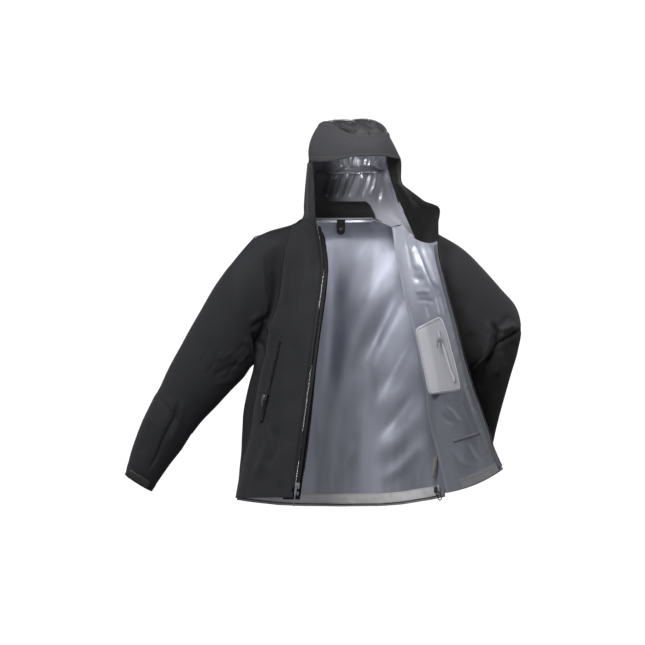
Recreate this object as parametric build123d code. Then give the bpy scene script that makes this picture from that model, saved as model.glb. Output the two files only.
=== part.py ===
from build123d import *
import math
import os
import numpy as np

# Hardshell jacket, hanging from its neck loop with the wearer's left front
# folded open.  Millimetres.  +Z up, -Y towards the front, +X to the wearer's
# left.  Origin: the centre of the hang loop's eye.
# Fabric pieces are thin closed solids faceted from grids or rings of points.

# ---------------------------------------------------------------- shared dimensions
FABRIC = 1.6          # laminate thickness
BAND_T = 1.0          # thickness of hem bands and neck facing
BAG_T = 0.8           # thickness of pocket bags
TAPE_T = 0.8          # thickness of zip tapes
GUARD_T = 2.0         # thickness of the chin guards
COIL_W, COIL_H = 3.4, 2.4   # section of the larger zip coils
SIDE_Y = -48.0        # depth of the side seams
SEAM_GAP = 2.5        # inset of back and side panels from the side outline
HINGE_GAP = 2.5       # clearance each side of a front's fold line

# Fold line of the left front; the right one mirrors its x.
FOLD_TOP = (131.8, -62.0, 0.0)
FOLD_BOTTOM = (268.0, -60.0, -674.0)
RIGHT_FOLD_Y = FOLD_TOP[1] - 1.0

# (z, half width of the torso at the side seam)
SIDE = [
    (-19.8, 219.6), (-182.9, 220.1), (-346.1, 220.9), (-409.8, 237.4),
    (-468.5, 250.2), (-539.9, 254.0), (-629.1, 260.4), (-682.6, 266.8)]

# Front edge of the right armhole, (x, y, z) downwards
ARM_FRONT = [
    (-219.5, -50.0, -19.8), (-203.9, -62.0, -38.1), (-196.1, -68.0, -61.2),
    (-190.9, -74.0, -94.3), (-188.3, -78.0, -132.5), (-185.7, -80.0, -183.2),
    (-188.3, -79.0, -213.7), (-201.1, -74.0, -244.1), (-216.6, -64.0, -284.8),
    (-220.3, -50.0, -346.1)]

os.makedirs("parts", exist_ok=True)


# ---------------------------------------------------------------- helpers
def vec(p):
    return np.array(p, float)


def unit(v):
    v = vec(v)
    return v / np.linalg.norm(v)


def frame(up, guide):
    """Up, the guide made square to it, and their normal on the front (-Y) side."""
    along = unit(guide - up * np.dot(up, guide))
    normal = np.cross(along, up)
    return up, along, -normal if normal[1] > 0 else normal


def look_up(table, key):
    """Interpolate a table of (key, value) rows."""
    keys, values = np.array(sorted(table)).T
    return float(np.interp(key, keys, values))


def at_height(table, z):
    """Point at height z on an outline of (x, y, z) rows ordered downwards."""
    xs, ys, zs = np.array(table).T
    return vec((np.interp(-z, -zs, xs), np.interp(-z, -zs, ys), z))


def poly_solid(triangles):
    """Closed solid from a list of triangles."""
    faces = [Face(Wire.make_polygon([Vector(*map(float, p)) for p in t], close=True))
             for t in triangles]
    return Solid(Shell(Face.sew_faces(faces)[0]))


def sheet(grid, thickness, side=1):
    """Panel: a grid of points, thickened along (+1) or against (-1) the grid normals."""
    near = np.array(grid, float)
    normals = np.cross(np.gradient(near, axis=0), np.gradient(near, axis=1))
    normals /= np.linalg.norm(normals, axis=2, keepdims=True) + 1e-12
    far = near + normals * thickness * side
    m, n = near.shape[:2]
    triangles = []
    for i in range(m - 1):
        for j in range(n - 1):
            a, b, c, d = (i, j), (i + 1, j), (i + 1, j + 1), (i, j + 1)
            triangles += [(near[a], near[b], near[c]), (near[a], near[c], near[d]),
                          (far[a], far[c], far[b]), (far[a], far[d], far[c])]
    rim = ([(0, j) for j in range(n)]
           + [(i, n - 1) for i in range(1, m)]
           + [(m - 1, j) for j in range(n - 2, -1, -1)]
           + [(i, 0) for i in range(m - 2, 0, -1)])
    for p, q in zip(rim, rim[1:] + rim[:1]):
        triangles += [(near[p], near[q], far[q]), (near[p], far[q], far[p])]
    return poly_solid(triangles)


def tube(rings, wall):
    """Open fabric tube through rings of points, the wall to the inside."""
    outer = [np.array(r, float) for r in rings]
    inner = []
    for ring in outer:
        centre = ring.mean(axis=0)
        spokes = ring - centre
        length = np.linalg.norm(spokes, axis=1, keepdims=True)
        inner.append(centre + spokes * (length - wall) / length)
    n = len(outer[0])
    triangles = []
    for i in range(len(outer) - 1):
        a, b, c, d = outer[i], outer[i + 1], inner[i], inner[i + 1]
        for k in range(n):
            q = (k + 1) % n
            triangles += [(a[k], a[q], b[q]), (a[k], b[q], b[k]),
                          (c[k], d[q], c[q]), (c[k], d[k], d[q])]
    for a, c in ((outer[0], inner[0]), (outer[-1], inner[-1])):
        for k in range(n):
            q = (k + 1) % n
            triangles += [(a[k], a[q], c[q]), (a[k], c[q], c[k])]
    return poly_solid(triangles)


def capped(rings):
    """Solid skinned through rings of points, both ends closed."""
    n = len(rings[0])
    triangles = []
    for a, b in zip(rings, rings[1:]):
        for k in range(n):
            q = (k + 1) % n
            triangles += [(a[k], a[q], b[q]), (a[k], b[q], b[k])]
    for end in (rings[0], rings[-1]):
        triangles += [(end[0], end[k], end[k + 1]) for k in range(1, n - 1)]
    return poly_solid(triangles)


def bar(path, across, normal, width, height):
    """Rectangular strip along a path; each direction is one vector or one per point."""
    path = np.array(path, float)
    across = np.broadcast_to(across, path.shape)
    normal = np.broadcast_to(normal, path.shape)
    rings = []
    for p, u, n in zip(path, across, normal):
        u, n = unit(u) * width / 2, unit(n) * height / 2
        rings.append([p + u + n, p - u + n, p - u - n, p + u - n])
    return capped(rings)


def cord(path, radius, n=6):
    """Round cord with n facets along a path."""
    path = np.array(path, float)
    tangents = np.gradient(path, axis=0)
    tangents /= np.linalg.norm(tangents, axis=1, keepdims=True)
    ref = unit(np.cross(tangents[0], [0.31, 0.17, 0.93]))   # arbitrary starting direction
    angles = np.arange(n) * 2 * math.pi / n
    rings = []
    for p, d in zip(path, tangents):
        ref = unit(ref - d * np.dot(ref, d))
        other = np.cross(d, ref)
        rings.append([p + radius * (ref * math.cos(a) + other * math.sin(a)) for a in angles])
    return capped(rings)


def place(origin, x_dir, z_dir, shape):
    """Move a shape modelled about its own origin into a local frame."""
    origin, x_dir, z_dir = (tuple(map(float, v)) for v in (origin, x_dir, z_dir))
    return Plane(origin=origin, x_dir=x_dir, z_dir=z_dir).location * shape


def save(name, *shapes):
    """Write one piece, which may hold several solids."""
    solids = [solid for shape in shapes for solid in shape.solids()]
    piece = solids[0] if len(solids) == 1 else Compound(children=solids)
    export_step(piece, "parts/%s.step" % name)


# ---------------------------------------------------------------- back
# Angles round the back, from the right side seam (0) to the left one (pi)
HALF_ANGLES = [0.02, 0.16, 0.36, 0.62, 0.94, 1.26]
ANGLES = HALF_ANGLES + [math.pi / 2] + [math.pi - a for a in HALF_ANGLES[::-1]]

BACK_DEPTH = 92.0     # how far the back bows behind the side seams
BACK_FACTOR = [(-40, 0.98), (-120, 1.0), (-350, 0.94), (-700, 0.84)]   # (z, share of depth)
BACK_TOP = -60.0      # joint between back panel and yoke
HEM_REF_Z = -600.0    # height whose plan shape spreads the hem points in x
HEM_X = 0             # centre towards which the inner hem pieces are inset
HEM_Y = -40

# Back hem line, (x, z)
BACK_HEM = [
    (-266.8, -682.6), (-258.5, -693.1), (-233.5, -699.6), (-208.2, -703.8),
    (-157.0, -710.5), (-105.6, -713.8), (0.3, -715.5), (106.0, -713.8),
    (152.2, -709.3), (190.5, -702.2), (228.4, -694.7), (253.3, -687.0), (266.1, -680.1)]

# Yoke rows: half width, side y, depth behind it, z, rise of the two sides
YOKE = [(90, -36, 40, 24, 4), (135, -42, 62, 9, 0), (185, -46, 82, -9, 0),
        (214, -47.5, 90, -30, 0), (218.5, -48, 91, -57, 0)]


def back_arc(angle, half_width, side_y, depth, z):
    """Point on a rounded plan section bowing to the back."""
    return vec((-half_width * math.cos(angle), side_y + depth * math.sin(angle) ** 0.92, z))


def back_pt(angle, z):
    return back_arc(angle, look_up(SIDE, z) - SEAM_GAP, SIDE_Y,
                    BACK_DEPTH * look_up(BACK_FACTOR, z), z)


def hem_z(angle):
    return look_up(BACK_HEM, back_pt(angle, HEM_REF_Z)[0])


def inside_hem(angle, rise, inset):
    """Point above the back hem line and inset from the back panel."""
    p = back_pt(angle, hem_z(angle) + rise)
    return p + unit((HEM_X - p[0], HEM_Y - p[1], 0)) * inset


save("back_panel", sheet(
    [[back_pt(a, BACK_TOP + (hem_z(a) - BACK_TOP) * f) for a in ANGLES]
     for f in (0, 0.1, 0.22, 0.36, 0.46, 0.56, 0.66, 0.8, 0.92, 1.0)], FABRIC, -1))
save("back_yoke", sheet(
    [[back_arc(a, half_width, side_y, depth, z + rise * (1 - math.sin(a))) for a in ANGLES]
     for half_width, side_y, depth, z, rise in YOKE], FABRIC, -1))

HEM_TAPE = 32.0       # top of the inner hem band above the hem
save("back_hem_band", sheet(
    [[inside_hem(a, rise, 9.5) for a in ANGLES[1:-1]] for rise in (HEM_TAPE, 2.0)],
    BAND_T, -1))

# hem cord round the back, with a short loose loop near the left side
HEM_CORD_R = 1.2
CORD_LOOP = [(242, -38, -678), (246, -38, -688), (251, -38, -694), (256, -38, -690)]
save("hem_cord", cord([inside_hem(a, 8, 4.2) for a in ANGLES[1:-1]], HEM_CORD_R),
     cord(CORD_LOOP, HEM_CORD_R))

save("neck_piping", cord([back_arc(a, 84, -39, 36, 20.5) for a in ANGLES[1:-1]], 1.6))

# hang loop: a strap with a round lower end and the eye through it
EYE_R = 4.0
LOOP_W = 20.0
LOOP_H = 44.0
LOOP_T = 2.0
LOOP_Z = 6            # centre of the straight part
STRAIGHT_H = LOOP_H - LOOP_W / 2
hang_loop = Pos(0, 0, LOOP_Z) * Box(LOOP_W, LOOP_T, STRAIGHT_H)
hang_loop += Pos(0, 0, LOOP_Z - STRAIGHT_H / 2) * Rot(90, 0, 0) * Cylinder(LOOP_W / 2, LOOP_T)
hang_loop -= Rot(90, 0, 0) * Cylinder(EYE_R, 20)
save("hang_loop", hang_loop)

save("care_label", Pos(226, -36, -607) * Box(11, 0.6, 52))

# ---------------------------------------------------------------- side panels
SIDE_PANEL_Z = (-8, -40, -62, -95, -135, -184, -214, -245, -285, -345,
                -410, -470, -540, -600, -640)
SHOULDER = (208, -52)                     # outer end of the top row: distance from x = 0, y
SHOULDER_Z = (-20, -12, -5, -1)           # heights along the top row


def fold_half_width(z):
    """Distance of either fold line from the centre plane."""
    z = max(min(z, 1.0), FOLD_BOTTOM[2])
    return FOLD_TOP[0] + (FOLD_BOTTOM[0] - FOLD_TOP[0]) * z / FOLD_BOTTOM[2]


def side_panel(side):
    """Static strip from the armhole or side seam to a front's fold line."""
    fold_y, bow = (RIGHT_FOLD_Y, 10) if side < 0 else (-56.0, 2)
    rows = []
    for z in SIDE_PANEL_Z:
        heights = (z,) * 4
        if z == SIDE_PANEL_Z[0]:
            seam_x, seam_y = SHOULDER
            heights = SHOULDER_Z
        elif z > ARM_FRONT[-1][2]:
            x, seam_y, _ = at_height(ARM_FRONT, z)
            seam_x = -x - SEAM_GAP
        else:
            seam_x, seam_y = look_up(SIDE, z), SIDE_Y - 3
        if side > 0:
            seam_y = max(seam_y, FOLD_TOP[1])
        fold_x = fold_half_width(z) + HINGE_GAP
        rows.append([(side * (seam_x + (fold_x - seam_x) * w),
                      seam_y + (fold_y - seam_y) * w - bow * w * (1 - w), height)
                     for w, height in zip((0, 0.33, 0.66, 1), heights)])
    return sheet(rows, FABRIC, side)


save("right_side_panel", side_panel(-1))
save("left_side_panel", side_panel(1))


# ---------------------------------------------------------------- zip hardware
def facing_sign(up, along, normal):
    """+1 when the local y of a shape placed with z up and x along follows the normal."""
    return 1 if np.dot(np.cross(up, along), normal) > 0 else -1


def main_slider(sign):
    """Body with a coil channel, a slot open to +x and a lug on one face."""
    body = Box(10, 6.6, 15)
    body = fillet(body.edges().filter_by(Axis.Z), 1.6)
    body = body - Box(4.8, 3.6, 40) - Pos(6, 0, 0) * Box(12, 1.8, 40)
    return body + Pos(0, sign * 4.3, 3) * Box(3, 2, 5)


def pocket_slider(sign):
    """Two plates joined by a side post, with a lug on one face."""
    near = Pos(0, sign * 2.55, 0) * Box(9, 1.5, 12)
    far = Pos(0, -sign * 2.55, 0) * Box(9, 1.5, 12)
    lug = Pos(0, sign * 4.2, 2.5) * Box(2.6, 2.0, 4.5)
    post = Pos(-3.3, 0, 0) * Box(1.2, 5.0, 12)
    return near + far + lug + post


def pull_tab(length):
    """Rounded tab with a hole near its lower end."""
    tab = Box(5.0, 1.6, length)
    tab = fillet(tab.edges().filter_by(Axis.Y), 2.0)
    return tab - Pos(0, 0, -length / 2 + 5) * Rot(90, 0, 0) * Cylinder(1.2, 10)


# tapes: (offset from the coil, width) on each side; pull_offset: out from the slider
HAND_ZIP = dict(coil=(COIL_W, COIL_H), tapes=((-8.8, 8.0), (7.6, 10.0)),
                pull_length=24, pull_offset=7.4)
INNER_ZIP = dict(coil=(3.0, 2.2), tapes=((-7.6, 6.0), (6.2, 7.5)),
                 pull_length=20, pull_offset=7.2)


def pocket_zip(name, top, bottom, guide, slider_at, coil, tapes, pull_length, pull_offset,
               lift=0.0, facing=1):
    """Coil with two tapes, its slider and a pull hanging plumb.

    slider_at is the share of the way down, lift a shift out along the normal,
    facing +1 for the front and -1 for the back.
    """
    up, along, front = frame(unit(top - bottom), guide)
    normal = front * facing
    top, bottom = top + normal * lift, bottom + normal * lift
    save(name + "_zip", bar([top, bottom], along, normal, *coil),
         *[bar([top + along * offset, bottom + along * offset], along, normal, width, TAPE_T)
           for offset, width in tapes])
    centre = top + (bottom - top) * slider_at
    slider = pocket_slider(facing_sign(up, along, normal))
    save(name + "_slider", place(centre, along, up, slider))
    hinge = centre + up * 2.5 + normal * pull_offset
    save(name + "_pull", place(hinge - vec((0, 0, pull_length / 2 + 1.5)), along, (0, 0, 1),
                               pull_tab(pull_length)))


# ---------------------------------------------------------------- right front, closed
# Zip edge and outermost edge, (x, y, z) downwards
ZIP_R = [
    (-63.8, -150.0, 1.5), (-57.5, -155.0, -33.8), (-51.3, -161.0, -71.5),
    (-48.0, -167.0, -104.1), (-49.2, -171.0, -126.7), (-115.1, -257.0, -627.7),
    (-120.0, -263.0, -661.7)]
EDGE_R = [
    (-61.3, -146.0, 1.7), (-48.8, -146.0, -8.4), (-42.5, -149.0, -33.5),
    (-37.5, -155.0, -66.3), (-34.5, -160.0, -89.0), (-33.8, -164.0, -114.1),
    (-41.3, -175.0, -184.2), (-53.7, -190.0, -271.4), (-63.6, -203.0, -345.8),
    (-73.5, -220.0, -444.6), (-83.3, -238.0, -542.6), (-98.0, -252.0, -628.1),
    (-105.3, -259.0, -671.9)]
RIGHT_BOW = [(0, 4), (-60, 14), (-250, 27), (-690, 27)]            # (z, bow to the front)
RIGHT_TOP = [(0, -1.0), (0.35, 14.0), (0.55, 12.0), (1.0, -3.0)]   # (share across, z)
RIGHT_ACROSS = (0, 0.12, 0.26, 0.42, 0.58, 0.74, 0.88, 1.0)
EXTEND_Z, EXTEND_SPAN = -661, 61.0    # below this the zip edge runs on straight


def right_pt(t, z):
    """Shell point, t from the fold line (0) to the zip edge (1)."""
    fold = vec((-fold_half_width(z) + HINGE_GAP, RIGHT_FOLD_Y, z))
    if z > EXTEND_Z:
        edge = at_height(ZIP_R, z)
    else:
        low = at_height(ZIP_R, EXTEND_Z)
        step = low - at_height(ZIP_R, EXTEND_Z + EXTEND_SPAN)
        edge = low + step * (EXTEND_Z - z) / EXTEND_SPAN
        edge[2] = z
    out = unit(np.cross(edge - fold, (0, 0, 1)))
    control = (fold + edge) / 2 + out * 2 * look_up(RIGHT_BOW, z)
    return fold * (1 - t) ** 2 + control * 2 * t * (1 - t) + edge * t * t


def right_normal(t, z, step):
    """Level normal towards the front."""
    chord = right_pt(min(t + step, 1), z) - right_pt(max(t - step, 0), z)
    return unit(np.cross(chord, (0, 0, 1)))


def right_hem_z(t):
    return -681.0 + 2 * t


rows = []
for f in (0, 0.05, 0.12, 0.2, 0.3, 0.42, 0.55, 0.68, 0.8, 0.91, 1.0):
    row = []
    for t in RIGHT_ACROSS:
        top_z = look_up(RIGHT_TOP, t)
        row.append(right_pt(t * 0.985, top_z + (right_hem_z(t) - top_z) * f))
    rows.append(row)
save("right_front_panel", sheet(rows, FABRIC, 1))

# main coil, along the straight run of the zip edge and just past the panel
RUN_TOP, RUN_BOTTOM = vec(ZIP_R[4]), vec(ZIP_R[5])
ZIP_UP, ZIP_ALONG, ZIP_FRONT = frame(unit(RUN_TOP - RUN_BOTTOM),
                                     right_pt(1.0, -400) - right_pt(0.93, -400))
COIL_OUT = 9          # coil centre line beyond the panel edge
TAPE_OUT = 9.3        # tape centre line beyond the coil
COIL_TOP = RUN_TOP + ZIP_UP * 20 + ZIP_ALONG * COIL_OUT
COIL_BOTTOM = RUN_BOTTOM - ZIP_UP * 26 + ZIP_ALONG * COIL_OUT
coil_path = np.array([COIL_TOP, COIL_BOTTOM])
save("right_zip_teeth", bar(coil_path, ZIP_ALONG, ZIP_FRONT, COIL_W, COIL_H))
save("right_zip_tape", bar(coil_path + ZIP_ALONG * TAPE_OUT, ZIP_ALONG, ZIP_FRONT, 13.0, TAPE_T))
save("zip_retainer_box", place(COIL_BOTTOM - ZIP_UP * 6.5, ZIP_ALONG, ZIP_UP, Box(9, 5, 9)))

# main slider near the foot of the coil, its pull tab and cord pointing down
slider_centre = COIL_BOTTOM + ZIP_UP * 12.0
save("main_zip_slider", place(slider_centre, ZIP_ALONG, ZIP_UP,
                              main_slider(facing_sign(ZIP_UP, ZIP_ALONG, ZIP_FRONT))))
pull_hinge = slider_centre + ZIP_UP * 3.0 + ZIP_FRONT * 7.6
save("main_zip_pull",
     place(pull_hinge - ZIP_UP * 14, ZIP_ALONG, ZIP_UP, pull_tab(24)),
     cord([pull_hinge - ZIP_UP * drop for drop in (27, 34, 41, 48, 55)], 1.5))

# storm flap behind the coil, out to the outermost edge
WIDE_BELOW, EXTRA_WIDTH = -115, 3
rows = []
for z in (-6, -60, -115, -200, -300, -400, -500, -600, -655):
    root = right_pt(0.90, z) - ZIP_FRONT * 6.0
    edge = at_height(EDGE_R, z) - ZIP_FRONT * 8.0
    extra = ZIP_ALONG * (EXTRA_WIDTH if z < WIDE_BELOW else 0)
    rows.append([root, (root + edge) / 2 - ZIP_FRONT * 1.0, edge + extra])
save("right_storm_flap", sheet(rows, FABRIC, 1))

save("right_hem_band", sheet(
    [[right_pt(t * 0.86, right_hem_z(t) + rise) - right_normal(t, -600, 0.05) * 5.0
      for t in RIGHT_ACROSS[1:]] for rise in (26.0, 1.5)], BAND_T, 1))

# hand pocket: zip in front of the shell, bag behind it
pocket_top, pocket_bottom = right_pt(0.44, -287.0), right_pt(0.36, -490.0)
middle_z = (pocket_top[2] + pocket_bottom[2]) / 2
pocket_zip("right_pocket", pocket_top, pocket_bottom,
           right_pt(0.5, middle_z) - right_pt(0.38, middle_z),
           slider_at=0.70, lift=7.0, **HAND_ZIP)
save("right_pocket_bag", sheet(
    [[right_pt(t, z) - right_normal(t, z, 0.04) * 8.0 for t in np.linspace(0.32, 0.88, 5)]
     for z in np.linspace(-262, -520, 6)], BAG_T, 1))

# ---------------------------------------------------------------- left front, swung open
# Zip edge, (x, y, z) downwards
ZIP_L = np.array([
    (241.2, -165.0, -36.6), (245.9, -171.0, -84.3), (258.0, -178.0, -134.3),
    (270.0, -186.0, -184.3), (282.0, -194.0, -229.1), (293.9, -203.0, -278.8),
    (305.7, -213.0, -328.3), (317.6, -221.0, -370.3), (329.4, -230.0, -412.1),
    (341.3, -237.0, -444.0), (353.0, -246.0, -480.6), (364.7, -255.0, -514.7),
    (371.6, -261.0, -541.4), (381.0, -267.0, -565.7), (387.9, -273.0, -582.5),
    (395.7, -283.0, -599.0)])
LEFT_BOW = 9.0        # bow of the open front towards the back
LEFT_EDGE_GAP = 9.0   # panel edge short of the zip outline
HEM_DIP = 10.0        # drop of the hem between its ends
DIP_FROM = 0.85       # share of the height at which the dip begins
FOLD_L_TOP, FOLD_L_BOTTOM = vec(FOLD_TOP), vec(FOLD_BOTTOM)
FOLD_L_UP = unit(FOLD_L_TOP - FOLD_L_BOTTOM)
run = np.cumsum([0, *np.linalg.norm(np.diff(ZIP_L, axis=0), axis=1)])
ZIP_L_SHARE = run / run[-1]


def left_pt(t, v, offset=0.0):
    """t from the fold line to the coil edge, v from neck to hem, offset to the lining side."""
    edge = vec([np.interp(v, ZIP_L_SHARE, column) for column in ZIP_L.T])
    fold = FOLD_L_TOP + (FOLD_L_BOTTOM - FOLD_L_TOP) * v
    chord = unit(edge - fold)
    lining = unit(np.cross(FOLD_L_UP, chord))
    if lining[1] > 0:
        lining = -lining              # the lining faces the front
    fold = fold + chord * HINGE_GAP
    edge = edge - chord * LEFT_EDGE_GAP
    arch = 4 * t * (1 - t)
    dip = HEM_DIP * arch * max(0, (v - DIP_FROM) / (1 - DIP_FROM))
    return fold + (edge - fold) * t + lining * (offset - LEFT_BOW * arch) - vec((0, 0, dip))


def left_patch(across, down, offset, thickness):
    """Sheet following the open front at an offset to its lining side."""
    return sheet([[left_pt(t, v, offset) for t in across] for v in down], thickness, 1)


def left_frame(t, v):
    """Up, along and front-facing directions of the open front."""
    up = unit(left_pt(t, max(v - 0.02, 0)) - left_pt(t, min(v + 0.02, 1)))
    return frame(up, left_pt(min(t + 0.05, 1), v) - left_pt(max(t - 0.05, 0), v))


save("left_front_panel", left_patch(
    (0, 0.14, 0.3, 0.46, 0.62, 0.8, 1),
    (0, 0.06, 0.14, 0.25, 0.37, 0.5, 0.62, 0.74, 0.85, 0.93, 1), 0.0, FABRIC))

# coil beyond the panel edge, tape on the lining side, pin below the coil
coil, tape, alongs, fronts = [], [], [], []
for v in (0.07, 0.16, 0.28, 0.4, 0.52, 0.64, 0.76, 0.88, 0.975):
    _, along, front = left_frame(1.0, v)
    centre = left_pt(1.0, v) + along * 5.0
    coil.append(centre)
    tape.append(centre - along * 7.8 + front * 5.0)
    alongs.append(along)
    fronts.append(front)
save("left_zip_teeth", bar(coil, alongs, fronts, COIL_W, COIL_H))
save("left_zip_tape", bar(tape, alongs, fronts, 11.0, TAPE_T))
up, along, _ = left_frame(1.0, 0.99)
save("zip_insertion_pin", place(coil[-1] - up * 8.2, along, up, Box(3.2, 3.0, 13)))

save("left_hem_band", left_patch((0.05, 0.2, 0.4, 0.6, 0.8, 0.92), (0.955, 0.995), 5.0, BAND_T))
save("left_pocket_bag", left_patch((0.12, 0.3, 0.5, 0.7, 0.86), (0.66, 0.70, 0.76, 0.81),
                                   5.5, BAG_T))

# inner chest pocket with its short coil
save("inner_pocket", left_patch((0.17, 0.3, 0.45, 0.6, 0.72), (0.37, 0.44, 0.5, 0.56, 0.62),
                                6.5, 1.2))
pocket_zip("inner_pocket", left_pt(0.60, 0.40, 12.5), left_pt(0.62, 0.60, 12.5),
           left_frame(0.6, 0.5)[1], slider_at=0.12, **INNER_ZIP)
# outer hand pocket, on the shell side, which now faces the back
pocket_zip("left_pocket", left_pt(0.42, 0.42, -9.0), left_pt(0.40, 0.72, -9.0),
           left_frame(0.4, 0.57)[1], slider_at=0.06, facing=-1, **HAND_ZIP)

# ---------------------------------------------------------------- sleeves
# Stations downwards: outer x, outer z, inner x, inner z, half depth in y
SLEEVE_R_Y = -45.0
SLEEVE_R_UP = [
    (-240.1, -37.5, -226.1, -341.1, 56), (-278.3, -86.0, -233.7, -358.9, 58),
    (-319.2, -142.1, -247.7, -379.3, 56), (-360.0, -211.0, -283.4, -417.6, 53),
    (-403.3, -287.5, -321.7, -458.4, 50), (-444.1, -366.6, -354.9, -494.1, 47),
    (-467.1, -412.5, -377.8, -522.2, 45)]
SLEEVE_R_LO = [
    (-472.2, -420.1, -384.2, -529.8, 44.5), (-490.1, -455.8, -408.4, -565.5, 43),
    (-510.5, -499.2, -431.4, -596.1, 40), (-530.9, -557.9, -456.9, -631.8, 37),
    (-550.0, -629.0, -484.0, -670.0, 34)]
SLEEVE_L_Y = -38.0
SLEEVE_L_UP = [
    (249.0, -8.0, 221.9, -341.2, 54), (303.0, -46.0, 232.1, -351.4, 54),
    (358.0, -98.0, 267.9, -366.7, 52), (408.0, -155.0, 313.9, -366.7, 48),
    (446.0, -200.0, 349.6, -356.5, 46)]
SLEEVE_L_LO = [
    (459.4, -259.5, 347.1, -366.7, 46), (451.8, -310.5, 329.2, -397.4, 46),
    (433.9, -371.8, 313.9, -438.2, 45), (416.0, -438.2, 296.0, -484.2, 42),
    (398.1, -509.7, 285.8, -540.4, 39), (380.2, -578.7, 280.7, -596.5, 36),
    (364.9, -627.2, 278.1, -622.1, 34)]
RING_POINTS = 18
ELBOW_NOTCH = 34.0    # how far the front of the right elbow is cut back on each side
CUFF_H = 24.0
CUFF_T = 2.2
CUFF_GAP = 1.5        # between the sleeve end and the cuff band


def direction(table, y, start, end):
    """Unit vector between the centres of two stations."""
    centres = [vec((x0 + x1, 2 * y, z0 + z1)) for x0, z0, x1, z1, _ in table]
    return unit(centres[end] - centres[start])


def sleeve_rings(table, y, cut_ring, cut, cut_side):
    """Elliptic rings, one of them slanted by moving its front or inner side by cut."""
    rings = []
    for x0, z0, x1, z1, depth in table:
        outer, inner = vec((x0, y, z0)), vec((x1, y, z1))
        centre, half, back = (outer + inner) / 2, (outer - inner) / 2, vec((0, depth, 0))
        rings.append([centre + half * math.cos(a) + back * math.sin(a)
                      for a in np.arange(RING_POINTS) * 2 * math.pi / RING_POINTS])
    rings = np.array(rings)
    wave = math.sin if cut_side == "front" else math.cos
    for k in range(RING_POINTS):
        rings[cut_ring][k] += cut * (1 - wave(2 * math.pi * k / RING_POINTS)) / 2
    return rings


def forearm(name, rings, across, facing, patch_shift):
    """Lower sleeve, cuff band, and the cuff's patch and tab on its front or back (facing)."""
    rings = list(rings)
    end = rings[-1]
    centre = end.mean(axis=0)
    axis = rings[-2].mean(axis=0) - centre
    step = (rings[-2] - end) / np.linalg.norm(axis)     # ring movement per mm up the sleeve
    save(name + "_lower_sleeve", tube(rings[:-1] + [end + step * (CUFF_H + CUFF_GAP)], FABRIC))
    save(name + "_cuff_band", tube([end + step * CUFF_H, end], CUFF_T))
    up = unit(axis)
    middle = centre + up * CUFF_H / 2
    save(name + "_cuff_loop_patch",
         place(middle + vec((0, facing * 41.0, 0)) + across * patch_shift, across, up,
               Box(44, 1.2, 20)))
    save(name + "_cuff_tab",
         place(middle + vec((0, facing * 45.0, 0)) + across * 2, across, up,
               fillet(Box(64, 1.6, 21).edges().filter_by(Axis.Y), 5)))


def cuff_across(table):
    """Unit vector from the inner to the outer point of the last station."""
    x0, z0, x1, z1, _ = table[-1]
    return unit((x0 - x1, 0, z0 - z1))


up_arm = direction(SLEEVE_R_UP, SLEEVE_R_Y, -1, 3)
save("right_upper_sleeve", tube(
    sleeve_rings(SLEEVE_R_UP, SLEEVE_R_Y, -1, up_arm * ELBOW_NOTCH, "front"), FABRIC))
down_arm = direction(SLEEVE_R_LO, SLEEVE_R_Y, 0, 2)
forearm("right", sleeve_rings(SLEEVE_R_LO, SLEEVE_R_Y, 0, down_arm * ELBOW_NOTCH, "front"),
        cuff_across(SLEEVE_R_LO), facing=-1, patch_shift=-4)

up_arm = direction(SLEEVE_L_UP, SLEEVE_L_Y, 3, 1)
save("left_upper_sleeve", tube(
    sleeve_rings(SLEEVE_L_UP, SLEEVE_L_Y, -1, up_arm * 8.0, "inner"), FABRIC))
forearm("left", sleeve_rings(SLEEVE_L_LO, SLEEVE_L_Y, 0, vec((0, 0, -22.0)), "inner"),
        cuff_across(SLEEVE_L_LO), facing=1, patch_shift=0)

# ---------------------------------------------------------------- hood
HOOD_STRIP = 44.0     # half width of the centre panel
STRIP_GAP = 1.5       # clearance between centre and side panels
OPENING = 0.34        # share of the side, from the front, left open for the face
# Tables of (z, value)
HOOD_X = [(30, 8), (120, 18), (200, 26), (276, 24)]
HOOD_HALF_W = [(30, 102), (80, 108), (120, 109), (180, 114), (220, 104), (245, 94),
               (262, 74), (272, 60)]
HOOD_BACK = [(30, 14), (50, 30), (80, 56), (120, 80), (160, 92), (200, 88), (235, 66),
             (258, 36), (270, 8), (277, -40)]
HOOD_FRONT = [(30, -100), (120, -112), (200, -120), (240, -134), (258, -128),
              (270, -104), (277, -60)]
HOOD_OPENING = [(200, OPENING), (232, 0.0)]
# Centre line over the crown to the front, (z, y)
HOOD_CENTRE = HOOD_BACK[:-1] + [(276, -25), (277, -60), (272, -98), (262, -124), (250, -134)]


def hood_section(z, t, strip):
    """Half width and y at height z, t from front (0) to back (1)."""
    bulge = max(0.0, math.sin(math.pi * t)) ** 0.55
    front, back = look_up(HOOD_FRONT, z), look_up(HOOD_BACK, z)
    return (strip + (look_up(HOOD_HALF_W, z) - strip) * bulge,
            front + (back - front) * (1 - math.cos(math.pi * t)) / 2)


def hood_side(side):
    rows = []
    for z in (34, 60, 95, 130, 165, 195, 222, 242, 256, 266, 273):
        row = []
        for t in np.linspace(look_up(HOOD_OPENING, z), 1, 10):
            width, y = hood_section(z, t, HOOD_STRIP + STRIP_GAP)
            row.append((look_up(HOOD_X, z) + side * width, y, z))
        rows.append(row)
    return sheet(rows, FABRIC, -side)


def edge_binding(side):
    """Cord in front of one upright edge of the face opening."""
    path = []
    for z in (40, 70, 105, 140, 172):
        width, y = hood_section(z, OPENING, HOOD_STRIP)
        path.append((look_up(HOOD_X, z) + side * (width - 1), y - 6.0, z))
    return cord(path, 2.0)


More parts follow.
